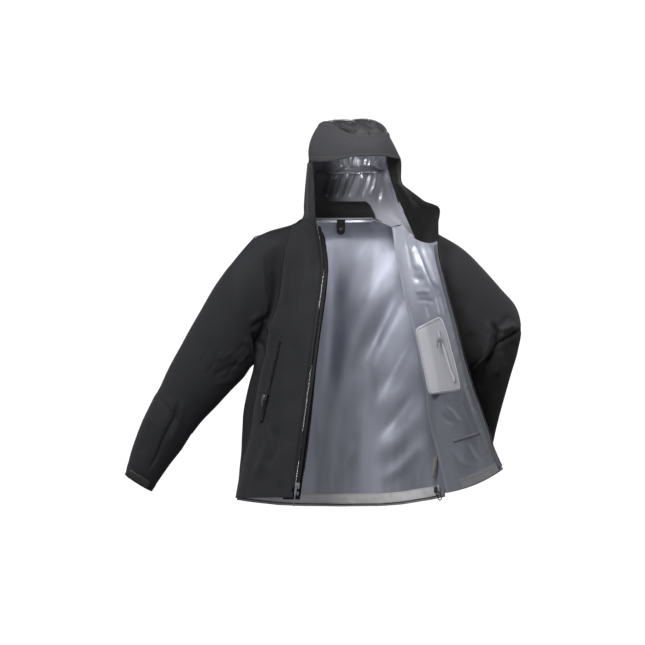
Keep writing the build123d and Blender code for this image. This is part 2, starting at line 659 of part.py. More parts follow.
for name, side in (("right", -1), ("left", 1)):
    save("hood_%s_panel" % name, hood_side(side))
    save("hood_%s_edge_binding" % name, edge_binding(side))

# centre panel, stood off backwards on its first eight rows and upwards from the seventh
save("hood_centre_panel", sheet(
    [[(look_up(HOOD_X, z) + x, y + (2.0 if i < 8 else 0), z + (4 if i > 5 else 0) + STRIP_GAP)
      for x in np.linspace(-HOOD_STRIP, HOOD_STRIP, 5)]
     for i, (z, y) in enumerate(HOOD_CENTRE)], FABRIC, -1))


def brim_pt(u, f):
    """u from -1 (right) to 1 (left), f from the upper edge (0) to the lower one (1)."""
    droop = 10 if u < 0 else 4
    return (30 + (88 + 20 * f) * u + 4 * f,
            -152 - 14 * f + (22 + 8 * f) * u * u,
            238 - droop * u * u - 62 * f + 6 * f * (1 - u * u))


save("hood_brim", sheet([[brim_pt(u, f) for u in np.linspace(-1, 1, 9)]
                         for f in np.linspace(0, 1, 5)], 2.4, 1))

# neck facing rows: z, y at the middle, half width
save("neck_facing", sheet(
    [[(5 + half_width * u, y - 16 * u * u, z) for u in (-1, -0.66, -0.33, 0, 0.33, 0.66, 1)]
     for z, y, half_width in ((34, -9, 62), (52, 3, 60), (76, 25, 56))], BAND_T, -1))

# Chin guards, rows of (x, y, z) upwards
RIGHT_CHIN = [
    [(-98, -72, 24), (-88, -100, 19), (-76, -128, 13), (-66, -148, 8)],
    [(-100, -74, 80), (-92, -102, 80), (-82, -132, 78), (-72, -152, 76)],
    [(-101, -78, 125), (-96, -104, 125), (-88, -134, 124), (-80, -154, 122)],
    [(-100, -84, 165), (-96, -106, 165), (-90, -134, 165), (-84, -152, 165)]]
LEFT_CHIN = [
    [(150, -84, 4), (176, -104, -8), (208, -134, -20), (238, -160, -30)],
    [(146, -96, 30), (176, -116, 26), (208, -140, 30), (237, -160, 54)],
    [(138, -106, 78), (156, -122, 76), (178, -138, 74), (206, -152, 72)],
    [(128, -112, 122), (140, -126, 118), (150, -136, 112), (158, -142, 104)],
    [(122, -118, 168), (132, -128, 166), (140, -136, 164), (148, -142, 160)]]
save("right_chin_guard", sheet(RIGHT_CHIN, GUARD_T, 1))
save("left_chin_guard", sheet(LEFT_CHIN, GUARD_T, 1))

# cinch cord round the back of the hood
save("hood_cinch_cord", cord(
    [(18 - 92 * math.cos(a), -10 + 78 * math.sin(a), 150 + 2 * math.sin(a))
     for a in np.linspace(0.12, math.pi - 0.12, 13)], 1.3))


# ---------------------------------------------------------------- cord locks
def cord_lock(x, y, z, width, depth, bore):
    """Body with a blind bore from the top, and the button standing in it."""
    body = Pos(x, y, z) * (Box(width, depth, 14) - Pos(0, 0, 5) * Cylinder(bore, 12))
    button = Pos(x, y, z + 5.5) * Cylinder(bore - 0.5, 8)
    return body, button


body, button = cord_lock(20, 98.5, 150, width=16, depth=9, bore=3.4)
save("cinch_lock_body", body)
save("cinch_lock_button", button)

# one lock near each side seam inside the hem
hem_bodies = []
for name, x in (("right", -242.0), ("left", 242.0)):
    body, button = cord_lock(x, -38.0, -668.0, width=9, depth=8, bore=2.9)
    hem_bodies.append(body)
    save(name + "_hem_lock_button", button)
save("hem_lock_bodies", *hem_bodies)
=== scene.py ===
import math
import bpy
import numpy as np
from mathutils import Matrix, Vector


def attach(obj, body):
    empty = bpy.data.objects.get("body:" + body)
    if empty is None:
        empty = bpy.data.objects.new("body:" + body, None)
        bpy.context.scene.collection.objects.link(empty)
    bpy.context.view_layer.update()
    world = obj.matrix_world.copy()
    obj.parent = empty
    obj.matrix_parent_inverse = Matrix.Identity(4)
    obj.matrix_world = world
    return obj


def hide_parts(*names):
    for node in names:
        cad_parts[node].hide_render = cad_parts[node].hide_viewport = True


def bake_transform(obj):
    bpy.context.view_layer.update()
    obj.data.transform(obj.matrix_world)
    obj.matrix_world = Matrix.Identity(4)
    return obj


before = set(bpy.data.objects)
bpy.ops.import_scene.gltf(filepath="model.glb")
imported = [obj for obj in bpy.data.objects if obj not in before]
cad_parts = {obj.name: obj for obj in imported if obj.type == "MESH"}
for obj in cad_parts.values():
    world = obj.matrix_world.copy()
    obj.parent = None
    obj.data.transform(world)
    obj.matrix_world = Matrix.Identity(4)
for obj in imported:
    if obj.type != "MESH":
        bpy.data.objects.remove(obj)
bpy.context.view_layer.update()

A = lambda p: np.array(p, float)

# ------------------------------------------------------------------ tables (mm, row frame)
SIDE = [(-19.8, 219.6), (-182.9, 220.1), (-346.1, 220.9), (-409.8, 237.4), (-468.5, 250.2), (-539.9, 254.0), (-629.1, 260.4), (-682.6, 266.8)]
ARM_FRONT = [(-219.5, -50.0, -19.8), (-203.9, -62.0, -38.1), (-196.1, -68.0, -61.2), (-190.9, -74.0, -94.3), (-188.3, -78.0, -132.5), (-185.7, -80.0, -183.2), (-188.3, -79.0, -213.7), (-201.1, -74.0, -244.1), (-216.6, -64.0, -284.8), (-220.3, -50.0, -346.1)]
R_TOP = [(-131.8, -62.0, 0.0)]
R_BOT = [(-268.0, -60.0, -674.0)]
ZIP_R = [(-63.8, -150.0, 1.5), (-57.5, -155.0, -33.8), (-51.3, -161.0, -71.5), (-48.0, -167.0, -104.1), (-49.2, -171.0, -126.7), (-115.1, -257.0, -627.7), (-120.0, -263.0, -661.7)]
EDGE_R = [(-61.3, -146.0, 1.7), (-48.8, -146.0, -8.4), (-42.5, -149.0, -33.5), (-37.5, -155.0, -66.3), (-34.5, -160.0, -89.0), (-33.8, -164.0, -114.1), (-41.3, -175.0, -184.2), (-53.7, -190.0, -271.4), (-63.6, -203.0, -345.8), (-73.5, -220.0, -444.6), (-83.3, -238.0, -542.6), (-98.0, -252.0, -628.1), (-105.3, -259.0, -671.9)]
ZIP_L = [(241.2, -165.0, -36.6), (245.9, -171.0, -84.3), (258.0, -178.0, -134.3), (270.0, -186.0, -184.3), (282.0, -194.0, -229.1), (293.9, -203.0, -278.8), (305.7, -213.0, -328.3), (317.6, -221.0, -370.3), (329.4, -230.0, -412.1), (341.3, -237.0, -444.0), (353.0, -246.0, -480.6), (364.7, -255.0, -514.7), (371.6, -261.0, -541.4), (381.0, -267.0, -565.7), (387.9, -273.0, -582.5), (395.7, -283.0, -599.0)]
HEM_L = [(266.7, -60.0, -676.6), (275.9, -78.0, -672.8), (298.9, -118.0, -659.8), (321.5, -160.0, -644.3), (343.8, -200.0, -631.6), (365.9, -238.0, -619.1), (387.8, -274.0, -607.0), (395.7, -283.0, -599.0)]
BACK_HEM = [(-266.8, -48.0, -682.6), (-258.5, -28.0, -693.1), (-233.5, -9.7, -699.6), (-208.2, 1.3, -703.8), (-157.0, 15.3, -710.5), (-105.6, 23.7, -713.8), (0.3, 30.0, -715.5), (106.0, 23.7, -713.8), (152.2, 16.4, -709.3), (190.5, 7.1, -702.2), (228.4, -7.1, -694.7), (253.3, -23.0, -687.0), (266.1, -48.0, -680.1)]
SLEEVE_R_UP = [((-240.1, -45.0, -37.5), (-226.1, -45.0, -341.1)), ((-278.3, -45.0, -86.0), (-233.7, -45.0, -358.9)), ((-319.2, -45.0, -142.1), (-247.7, -45.0, -379.3)), ((-360.0, -45.0, -211.0), (-283.4, -45.0, -417.6)), ((-403.3, -45.0, -287.5), (-321.7, -45.0, -458.4)), ((-444.1, -45.0, -366.6), (-354.9, -45.0, -494.1)), ((-467.1, -45.0, -412.5), (-377.8, -45.0, -522.2))]
SLEEVE_R_LO = [((-472.2, -45.0, -420.1), (-384.2, -45.0, -529.8)), ((-490.1, -45.0, -455.8), (-408.4, -45.0, -565.5)), ((-510.5, -45.0, -499.2), (-431.4, -45.0, -596.1)), ((-530.9, -45.0, -557.9), (-456.9, -45.0, -631.8)), ((-550.0, -45.0, -629.0), (-484.0, -45.0, -670.0))]
SLEEVE_L_UP = [((249.0, -38.0, -8.0), (221.9, -38.0, -341.2)), ((303.0, -38.0, -46.0), (232.1, -38.0, -351.4)), ((358.0, -38.0, -98.0), (267.9, -38.0, -366.7)), ((408.0, -38.0, -155.0), (313.9, -38.0, -366.7)), ((446.0, -38.0, -200.0), (349.6, -38.0, -356.5))]
SLEEVE_L_LO = [((459.4, -38.0, -259.5), (347.1, -38.0, -366.7)), ((451.8, -38.0, -310.5), (329.2, -38.0, -397.4)), ((433.9, -38.0, -371.8), (313.9, -38.0, -438.2)), ((416.0, -38.0, -438.2), (296.0, -38.0, -484.2)), ((398.1, -38.0, -509.7), (285.8, -38.0, -540.4)), ((380.2, -38.0, -578.7), (280.7, -38.0, -596.5)), ((364.9, -38.0, -627.2), (278.1, -38.0, -622.1))]
FX0, FX1, FY = -131.8, -268.0, -62.0        # fold line of each front, x at neck and hem, and depth


def unit(v):
    v = A(v)
    return v / (np.linalg.norm(v) + 1e-12)


def sm(x, a, b):
    t = np.clip((x - a) / (b - a), 0, 1)
    return t * t * (3 - 2 * t)


def herm(P, s, t):
    """Smooth curve through the rows of P at parameters s, read at t."""
    P, s, t = A(P), A(s), A(t)
    T = np.gradient(P, s, axis=0)
    i = np.clip(np.searchsorted(s, t, side="right") - 1, 0, len(s) - 2)
    h = s[i + 1] - s[i]
    u = (t - s[i]) / h
    sh = (-1,) + (1,) * (P.ndim - 1)
    u, h = u.reshape(sh), h.reshape(sh)
    return ((2 * u**3 - 3 * u**2 + 1) * P[i] + (u**3 - 2 * u**2 + u) * h * T[i]
            + (-2 * u**3 + 3 * u**2) * P[i + 1] + (u**3 - u**2) * h * T[i + 1])


def arc(P):
    d = np.linalg.norm(np.diff(P, axis=0), axis=-1)
    while d.ndim > 1:
        d = d.mean(axis=-1)
    s = np.concatenate([[0], np.cumsum(d)])
    return s / s[-1]


def refine(G, m, n):
    """Grid of points made finer and smooth both ways."""
    G = A(G)
    G = herm(G, arc(G), np.linspace(0, 1, m))
    H = np.swapaxes(G, 0, 1)
    H = herm(H, arc(H), np.linspace(0, 1, n))
    return np.swapaxes(H, 0, 1)


def curve(P, n):
    P = A(P)
    return herm(P, arc(P), np.linspace(0, 1, n))


def normals(G, wrap=False):
    du = np.gradient(G, axis=0)
    if wrap:
        dv = (np.roll(G, -1, axis=1) - np.roll(G, 1, axis=1)) / 2
    else:
        dv = np.gradient(G, axis=1)
    n = np.cross(du, dv)
    return n / (np.linalg.norm(n, axis=2, keepdims=True) + 1e-12)


CX, CZ, CD, CS = -47.5, -240.3, 6000.0, 2.57      # camera axis, distance and size of one frame unit at depth 0


def view(P):
    """Where a point falls on the 645 wide frame."""
    k = (CD + P[..., 1]) / CD * CS
    return 322.5 + (P[..., 0] - CX) / k, 322.5 - (P[..., 2] - CZ) / k


def at_view(x, y, d):
    k = (CD + d) / CD * CS
    return A((CX + (x - 322.5) * k, d, CZ - (y - 322.5) * k))


def ridge(X, Y, pts, w, amp, sharp=1.0, taper=0.25):
    """Height of one fold that runs along the line pts, in frame units, w wide and amp mm high."""
    pts = A(pts)
    L = np.concatenate([[0], np.cumsum(np.linalg.norm(np.diff(pts, axis=0), axis=1))])
    best = np.full(X.shape, 1e9)
    pos = np.zeros(X.shape)
    for i in range(len(pts) - 1):
        a, b = pts[i], pts[i + 1]
        d = b - a
        l2 = d @ d
        u = np.clip(((X - a[0]) * d[0] + (Y - a[1]) * d[1]) / l2, 0, 1)
        q = np.hypot(X - a[0] - u * d[0], Y - a[1] - u * d[1])
        m = q < best
        best = np.where(m, q, best)
        pos = np.where(m, (L[i] + u * math.sqrt(l2)) / L[-1], pos)
    e = sm(pos, 0, taper) * sm(-pos, -1, -1 + taper) if taper > 0 else 1.0
    return amp * e * np.exp(-(best / w) ** (2 * sharp))


def waves(P, seed, scale, amp, n=7, stretch=(1, 1, 1)):
    """Smooth seeded wobble, scale in mm."""
    r = np.random.RandomState(seed)
    h = np.zeros(P.shape[:-1])
    for k in range(n):
        d = unit(r.normal(size=3) * A(stretch)) * (0.6 + 0.9 * r.rand()) * 2 * math.pi / scale
        h += np.sin(P @ d + r.rand() * 6.28) * (0.5 + r.rand())
    return h * amp / n ** 0.5


# ------------------------------------------------------------------ materials
def nt(m):
    m.use_nodes = True
    t = m.node_tree
    t.nodes.clear()
    out = t.nodes.new("ShaderNodeOutputMaterial")
    p = t.nodes.new("ShaderNodeBsdfPrincipled")
    t.links.new(p.outputs[0], out.inputs[0])
    return t, p


def node(t, kind, **kw):
    n = t.nodes.new(kind)
    for k, v in kw.items():
        if k in n.inputs:
            n.inputs[k].default_value = v
        else:
            setattr(n, k, v)
    return n


def math_node(t, op, a, b=None):
    n = t.nodes.new("ShaderNodeMath")
    n.operation = op
    for i, v in enumerate((a, b)):
        if v is None:
            continue
        if hasattr(v, "links"):
            t.links.new(v, n.inputs[i])
        else:
            n.inputs[i].default_value = v
    return n.outputs[0]


def cloth_mat(name, base, rough=0.7, spec=0.35, sheen=0.15, metallic=0.0, pitch=0.9, weave=0.35, var=0.10,
              crease=0.0, crease_scale=22.0, edge=0.10, coat=0.0, aniso=0.0, ripstop=0.0, rough_var=0.08, painted_sheen_bands=0.0, lift=0.0, painted_shade_x=None, ao=0.0, zr=(-0.52, -0.10)):
    """Woven or laminated cloth. pitch is the yarn spacing in mm; crease is fine crumpling height in mm."""
    m = bpy.data.materials.new(name)
    t, p = nt(m)
    L = t.links
    tc = t.nodes.new("ShaderNodeTexCoord")
    uv = tc.outputs["UV"]
    ob = tc.outputs["Object"]
    # colour: broad variation, small mottling, lighter worn edges
    n1 = node(t, "ShaderNodeTexNoise", Scale=9.0, Detail=4.0, Roughness=0.55)
    L.new(ob, n1.inputs["Vector"])
    n2 = node(t, "ShaderNodeTexNoise", Scale=260.0, Detail=3.0, Roughness=0.6)
    L.new(ob, n2.inputs["Vector"])
    v = math_node(t, "ADD", math_node(t, "MULTIPLY", math_node(t, "SUBTRACT", n1.outputs["Fac"], 0.5), 2 * var),
                  math_node(t, "MULTIPLY", math_node(t, "SUBTRACT", n2.outputs["Fac"], 0.5), var))
    geo = t.nodes.new("ShaderNodeNewGeometry")
    wear = math_node(t, "MULTIPLY", math_node(t, "SUBTRACT", geo.outputs["Pointiness"], 0.5), edge * 8)
    wear = node(t, "ShaderNodeClamp").outputs[0].node
    L.new(math_node(t, "MULTIPLY", math_node(t, "SUBTRACT", geo.outputs["Pointiness"], 0.5), edge * 8), wear.inputs[0])
    v = math_node(t, "ADD", math_node(t, "ADD", v, wear.outputs[0]), 1.0)
    # painted sheen: stretched diagonal noise lightens and darkens the base colour in bands that stand in for satin
    # highlights
    if painted_sheen_bands:
        m1 = t.nodes.new("ShaderNodeMapping")
        m1.inputs["Rotation"].default_value = (0, math.radians(-32), 0)
        m1.inputs["Scale"].default_value = (11.0, 6.0, 1.9)
        L.new(ob, m1.inputs["Vector"])
        ns = node(t, "ShaderNodeTexNoise", Scale=1.0, Detail=3.0, Roughness=0.5, Distortion=0.35)
        L.new(m1.outputs[0], ns.inputs["Vector"])
        rr_ = t.nodes.new("ShaderNodeMapRange")
        rr_.interpolation_type = "SMOOTHSTEP"
        rr_.inputs["From Min"].default_value = 0.36
        rr_.inputs["From Max"].default_value = 0.66
        rr_.inputs["To Min"].default_value = 1 - painted_sheen_bands
        rr_.inputs["To Max"].default_value = 1 + painted_sheen_bands
        L.new(ns.outputs["Fac"], rr_.inputs["Value"])
        v = math_node(t, "MULTIPLY", v, rr_.outputs[0])
    # painted shade: base colour darkened towards low object x, standing in for the shadow on that side
    if painted_shade_x:
        sx_ = t.nodes.new("ShaderNodeSeparateXYZ")
        L.new(ob, sx_.inputs[0])
        rx_ = t.nodes.new("ShaderNodeMapRange")
        rx_.interpolation_type = "SMOOTHSTEP"
        rx_.inputs["From Min"].default_value = painted_shade_x[0]
        rx_.inputs["From Max"].default_value = painted_shade_x[1]
        rx_.inputs["To Min"].default_value = painted_shade_x[2]
        rx_.inputs["To Max"].default_value = 1.0
        L.new(sx_.outputs[0], rx_.inputs["Value"])
        v = math_node(t, "MULTIPLY", v, rx_.outputs[0])
    # painted light: base colour made lighter towards the top over the object z range zr, standing in for light from
    # above
    if lift:
        sz = t.nodes.new("ShaderNodeSeparateXYZ")
        L.new(ob, sz.inputs[0])
        rz = t.nodes.new("ShaderNodeMapRange")
        rz.interpolation_type = "SMOOTHSTEP"
        rz.inputs["From Min"].default_value = zr[0]
        rz.inputs["From Max"].default_value = zr[1]
        rz.inputs["To Min"].default_value = 1.0
        rz.inputs["To Max"].default_value = 1.0 + lift
        L.new(sz.outputs[2], rz.inputs["Value"])
        v = math_node(t, "MULTIPLY", v, rz.outputs[0])
    # painted shade: base colour darkened by ambient occlusion in creases and recesses
    if ao:
        an = t.nodes.new("ShaderNodeAmbientOcclusion")
        an.samples = 6
        an.inputs["Distance"].default_value = 0.024
        v = math_node(t, "MULTIPLY", v, math_node(t, "ADD", math_node(t, "MULTIPLY", an.outputs["AO"], ao), 1 - ao))
    mix = t.nodes.new("ShaderNodeVectorMath")
    mix.operation = "SCALE"
    mix.inputs[0].default_value = base
    L.new(v, mix.inputs["Scale"])
    L.new(mix.outputs[0], p.inputs["Base Color"])
    # weave
    mp = t.nodes.new("ShaderNodeMapping")
    s = 1000.0 / pitch
    mp.inputs["Scale"].default_value = (s, s, s)
    L.new(uv, mp.inputs["Vector"])
    sep = t.nodes.new("ShaderNodeSeparateXYZ")
    L.new(mp.outputs[0], sep.inputs[0])
    wx = math_node(t, "SINE", math_node(t, "MULTIPLY", sep.outputs[0], math.pi))
    wy = math_node(t, "SINE", math_node(t, "MULTIPLY", sep.outputs[1], math.pi))
    w = math_node(t, "MULTIPLY", wx, wy)
    if ripstop:
        rx = math_node(t, "PINGPONG", math_node(t, "MULTIPLY", sep.outputs[0], 1.0), 4.0)
        ry = math_node(t, "PINGPONG", math_node(t, "MULTIPLY", sep.outputs[1], 1.0), 4.0)
        g = math_node(t, "MAXIMUM", math_node(t, "LESS_THAN", rx, 0.35), math_node(t, "LESS_THAN", ry, 0.35))
        w = math_node(t, "ADD", w, math_node(t, "MULTIPLY", g, ripstop))
    b1 = node(t, "ShaderNodeBump", Strength=weave, Distance=0.00012)
    L.new(w, b1.inputs["Height"])
    last = b1
    n3 = node(t, "ShaderNodeTexNoise", Scale=900.0, Detail=2.0)
    L.new(ob, n3.inputs["Vector"])
    b2 = node(t, "ShaderNodeBump", Strength=0.25, Distance=0.00008)
    L.new(n3.outputs["Fac"], b2.inputs["Height"])
    L.new(b1.outputs[0], b2.inputs["Normal"])
    last = b2
    if crease:
        nz = node(t, "ShaderNodeTexNoise", Scale=crease_scale, Detail=5.0, Roughness=0.55, Distortion=0.6)
        L.new(ob, nz.inputs["Vector"])
        b3 = node(t, "ShaderNodeBump", Strength=0.6, Distance=crease / 1000.0)
        L.new(nz.outputs["Fac"], b3.inputs["Height"])
        L.new(last.outputs[0], b3.inputs["Normal"])
        last = b3
    L.new(last.outputs[0], p.inputs["Normal"])
    r = math_node(t, "ADD", math_node(t, "MULTIPLY", math_node(t, "SUBTRACT", n1.outputs["Fac"], 0.5), 2 * rough_var), rough)
    L.new(r, p.inputs["Roughness"])
    p.inputs["Specular IOR Level"].default_value = spec
    p.inputs["Sheen Weight"].default_value = sheen
    p.inputs["Sheen Roughness"].default_value = 0.45
    p.inputs["Metallic"].default_value = metallic
    p.inputs["Coat Weight"].default_value = coat
    p.inputs["Coat Roughness"].default_value = 0.22
    p.inputs["Anisotropic"].default_value = aniso
    return m


def hard_mat(name, base, rough=0.4, metallic=0.0, grain=0.15, scale=350.0, spec=0.5, edge=0.3):
    m = bpy.data.materials.new(name)
    t, p = nt(m)
    L = t.links
    tc = t.nodes.new("ShaderNodeTexCoord")
    n1 = node(t, "ShaderNodeTexNoise", Scale=scale, Detail=4.0)
    L.new(tc.outputs["Object"], n1.inputs["Vector"])
    n2 = node(t, "ShaderNodeTexNoise", Scale=60.0, Detail=2.0)
    L.new(tc.outputs["Object"], n2.inputs["Vector"])
    geo = t.nodes.new("ShaderNodeNewGeometry")
    cl = t.nodes.new("ShaderNodeClamp")
    L.new(math_node(t, "MULTIPLY", math_node(t, "SUBTRACT", geo.outputs["Pointiness"], 0.5), edge * 10), cl.inputs[0])
    v = math_node(t, "ADD", math_node(t, "ADD", math_node(t, "MULTIPLY", math_node(t, "SUBTRACT", n2.outputs["Fac"], 0.5), 0.3), cl.outputs[0]), 1.0)
    mix = t.nodes.new("ShaderNodeVectorMath")
    mix.operation = "SCALE"
    mix.inputs[0].default_value = base
    L.new(v, mix.inputs["Scale"])
    L.new(mix.outputs[0], p.inputs["Base Color"])
    b = node(t, "ShaderNodeBump", Strength=grain, Distance=0.0001)
    L.new(n1.outputs["Fac"], b.inputs["Height"])
    L.new(b.outputs[0], p.inputs["Normal"])
    L.new(math_node(t, "ADD", math_node(t, "MULTIPLY", n2.outputs["Fac"], 0.15), rough - 0.07), p.inputs["Roughness"])
    p.inputs["Metallic"].default_value = metallic
    p.inputs["Specular IOR Level"].default_value = spec
    return m


# ao= on a cloth darkens its base colour in creases and recesses: painted shade
M = {
    "shell": cloth_mat("shell_cloth", (0.0178, 0.0183, 0.0222), rough=0.70, spec=0.30, sheen=0.10, pitch=0.7, weave=0.5, var=0.16, crease=0.7, crease_scale=18, edge=0.14, ao=0.7),
    # painted light: lighter copy of the shell cloth for the lit upper left sleeve
    "shell_painted_lit": cloth_mat("shell_cloth_painted_light", (0.0330, 0.0322, 0.0352), rough=0.72, spec=0.30, sheen=0.12, pitch=0.7, weave=0.5, var=0.14, crease=0.7, crease_scale=18, edge=0.14, ao=0.85),
    # painted shade: darker copy of the shell cloth for the lower left sleeve, darkest towards the body
    "shade": cloth_mat("shell_cloth_painted_shade", (0.0190, 0.0185, 0.0205), rough=0.75, spec=0.22, sheen=0.06, pitch=0.7, weave=0.5, var=0.12, crease=0.6, crease_scale=18, edge=0.12, ao=0.9, painted_shade_x=(0.345, 0.430, 0.10)),
    "pmetal": hard_mat("pale_slider", (0.30, 0.30, 0.31), rough=0.45, metallic=0.2, grain=0.2),
    # painted light: lighter than the shell cloth, standing in for light falling on the upward-facing brim
    "brim": cloth_mat("brim_cloth", (0.0500, 0.0505, 0.0560), rough=0.72, spec=0.30, sheen=0.12, pitch=0.7, weave=0.5, var=0.08, crease=0.25, edge=0.06, ao=0.4),
    # painted light and shade on the lining: lighter towards the top, painted sheen bands, crease shade
    "lining": cloth_mat("lining_cloth", (0.325, 0.338, 0.400), rough=0.43, spec=0.5, sheen=0.08, metallic=0.50, pitch=0.55, weave=0.22, var=0.05, crease=1.3, crease_scale=12, edge=0.04, ripstop=0.3, painted_sheen_bands=0.24, lift=0.50, ao=0.55, zr=(-0.50, -0.22)),
    # painted light: lighter copy of the lining cloth for the folded-open front, with stronger top lightening, painted
    # sheen bands and crease shade
    "flap_lining_painted_light": cloth_mat("flap_lining_cloth_painted_light", (0.37, 0.383, 0.445), rough=0.36, spec=0.5, sheen=0.08, metallic=0.50, pitch=0.55, weave=0.22, var=0.06, crease=2.2, crease_scale=20, edge=0.04, ripstop=0.3, painted_sheen_bands=0.16, lift=1.35, ao=0.75, zr=(-0.44, -0.06)),
    "pocket": cloth_mat("pocket_cloth", (0.60, 0.60, 0.645), rough=0.62, spec=0.35, sheen=0.2, pitch=0.6, weave=0.25, var=0.04, crease=0.4, crease_scale=16, edge=0.03, ao=0.5),
    "hem": cloth_mat("hem_tape_cloth", (0.66, 0.645, 0.65), rough=0.45, spec=0.5, sheen=0.1, metallic=0.12, pitch=0.6, weave=0.3, var=0.12, crease=3.0, crease_scale=30, edge=0.05, ao=0.5),
    # painted light: seam tape lighter towards the top, with crease shade in the colour
    "tape": cloth_mat("seam_tape_film", (0.36, 0.37, 0.415), rough=0.36, spec=0.55, sheen=0.0, metallic=0.40, pitch=0.6, weave=0.15, var=0.10, crease=2.4, crease_scale=34, edge=0.04, lift=0.7, ao=0.6),
    # painted light and shade: much lighter copy of the lining cloth for the dim hood interior, darkened towards its
    # left side, with crease shade
    "hood_lining_painted_light_shade": cloth_mat("hood_lining_cloth_painted_light_shade", (0.84, 0.85, 0.94), rough=0.32, spec=0.5, sheen=0.0, metallic=0.55, coat=0.30, pitch=0.55, weave=0.22, var=0.05, crease=1.4, crease_scale=18, edge=0.03, ripstop=0.3, painted_shade_x=(-0.045, 0.055, 0.03), ao=0.85),
    # painted shade: darker copy of the hem tape cloth for the left front
    "hem_l": cloth_mat("hem_tape_cloth_painted_shade", (0.36, 0.355, 0.365), rough=0.45, spec=0.5, sheen=0.1, metallic=0.15, pitch=0.6, weave=0.3, var=0.14, crease=3.4, crease_scale=34, edge=0.05, ao=0.5),
    "pullcord": cloth_mat("pull_cord_grey", (0.135, 0.140, 0.165), rough=0.6, spec=0.4, sheen=0.3, pitch=0.9, weave=1.2, var=0.15, edge=0.3),
    "hshell": cloth_mat("hood_shell_cloth", (0.0165, 0.0165, 0.0205), rough=0.46, spec=0.45, sheen=0.10, pitch=0.7, weave=0.4, var=0.12, crease=0.6, crease_scale=18, edge=0.14, ao=0.8),
    # near-black: partly the black welt, partly painted shadow in the pocket mouth
    "welt_black_and_painted_shadow": cloth_mat("pocket_welt_black_and_painted_shadow", (0.0035, 0.0035, 0.0040), rough=0.30, spec=0.20, sheen=0.0, pitch=0.8, weave=0.2, var=0.08, edge=0.1),
    # painted glint: bright metal copy of the coil for the right zip, standing in for highlights along a black coil
    "silver": hard_mat("coil_painted_glint", (0.46, 0.46, 0.48), rough=0.25, metallic=0.8, grain=0.1),
    "black": cloth_mat("black_trim_cloth", (0.0105, 0.0105, 0.0115), rough=0.82, spec=0.22, sheen=0.25, pitch=0.6, weave=0.5, var=0.12, crease=0.2, edge=0.2),
    "webbing": cloth_mat("black_webbing", (0.010, 0.010, 0.011), rough=0.75, spec=0.3, sheen=0.3, pitch=1.3, weave=1.0, var=0.12, edge=0.2),
    "ztape": cloth_mat("zip_tape_film", (0.0085, 0.0085, 0.0100), rough=0.55, spec=0.28, sheen=0.0, pitch=0.8, weave=0.25, var=0.08, crease=0.5, edge=0.2, ao=0.6),
    "gztape": cloth_mat("grey_zip_tape", (0.20, 0.205, 0.235), rough=0.42, spec=0.5, sheen=0.05, metallic=0.2, pitch=0.8, weave=0.3, var=0.08, crease=0.8, crease_scale=30, edge=0.05),
    "cord": cloth_mat("braided_cord", (0.016, 0.016, 0.018), rough=0.7, spec=0.3, sheen=0.3, pitch=0.9, weave=1.2, var=0.2, edge=0.3),
    "greycord": cloth_mat("grey_cord", (0.09, 0.092, 0.10), rough=0.6, spec=0.4, sheen=0.3, pitch=0.9, weave=1.2, var=0.15, edge=0.3),
    "pipe": cloth_mat("silver_piping", (0.26, 0.265, 0.30), rough=0.4, spec=0.5, sheen=0.1, metallic=0.2, pitch=0.6, weave=0.4, var=0.06, edge=0.1),
    "label": cloth_mat("label_cloth", (0.30, 0.27, 0.24), rough=0.75, spec=0.25, sheen=0.3, pitch=0.5, weave=0.8, var=0.08, edge=0.1),
    "coil": hard_mat("coil_plastic", (0.035, 0.035, 0.038), rough=0.22, grain=0.1, spec=0.6),
    "metal": hard_mat("slider_metal", (0.35, 0.35, 0.36), rough=0.28, metallic=0.9, grain=0.2),
    "dmetal": hard_mat("dark_slider_metal", (0.05, 0.05, 0.053), rough=0.35, metallic=0.7, grain=0.2),
    "plastic": hard_mat("moulded_plastic", (0.014, 0.014, 0.015), rough=0.45, grain=0.35, spec=0.45),
    "loopf": cloth_mat("loop_field", (0.012, 0.012, 0.013), rough=0.95, spec=0.1, sheen=0.6, pitch=1.1, weave=1.6, var=0.25, edge=0.1),
}


# ------------------------------------------------------------------ mesh makers
def add_mesh(name, V, F, mats, uv=None, mi=None, smooth=True):
    me = bpy.data.meshes.new(name)
    me.from_pydata((A(V) / 1000.0).tolist(), [], [tuple(int(i) for i in f) for f in F])
    for m in mats:
        me.materials.append(M[m])
    if mi is not None:
        me.polygons.foreach_set("material_index", np.array(mi, np.int32))
    me.polygons.foreach_set("use_smooth", np.full(len(F), bool(smooth)))
    if uv is not None:
        u = me.uv_layers.new(name="UVMap")
        idx = np.zeros(len(me.loops), np.int32)
        me.loops.foreach_get("vertex_index", idx)
        u.data.foreach_set("uv", (A(uv)[idx] / 1000.0).astype(np.float32).ravel())
    me.validate()
    me.update()
    o = bpy.data.objects.new(name, me)
    bpy.context.scene.collection.objects.link(o)
    return o


def grid_uv(G):
    a = np.concatenate([np.zeros((1, G.shape[1])), np.cumsum(np.linalg.norm(np.diff(G, axis=0), axis=2), axis=0)])
    b = np.concatenate([np.zeros((G.shape[0], 1)), np.cumsum(np.linalg.norm(np.diff(G, axis=1), axis=2), axis=1)], axis=1)
    return np.stack([b, a], axis=2)


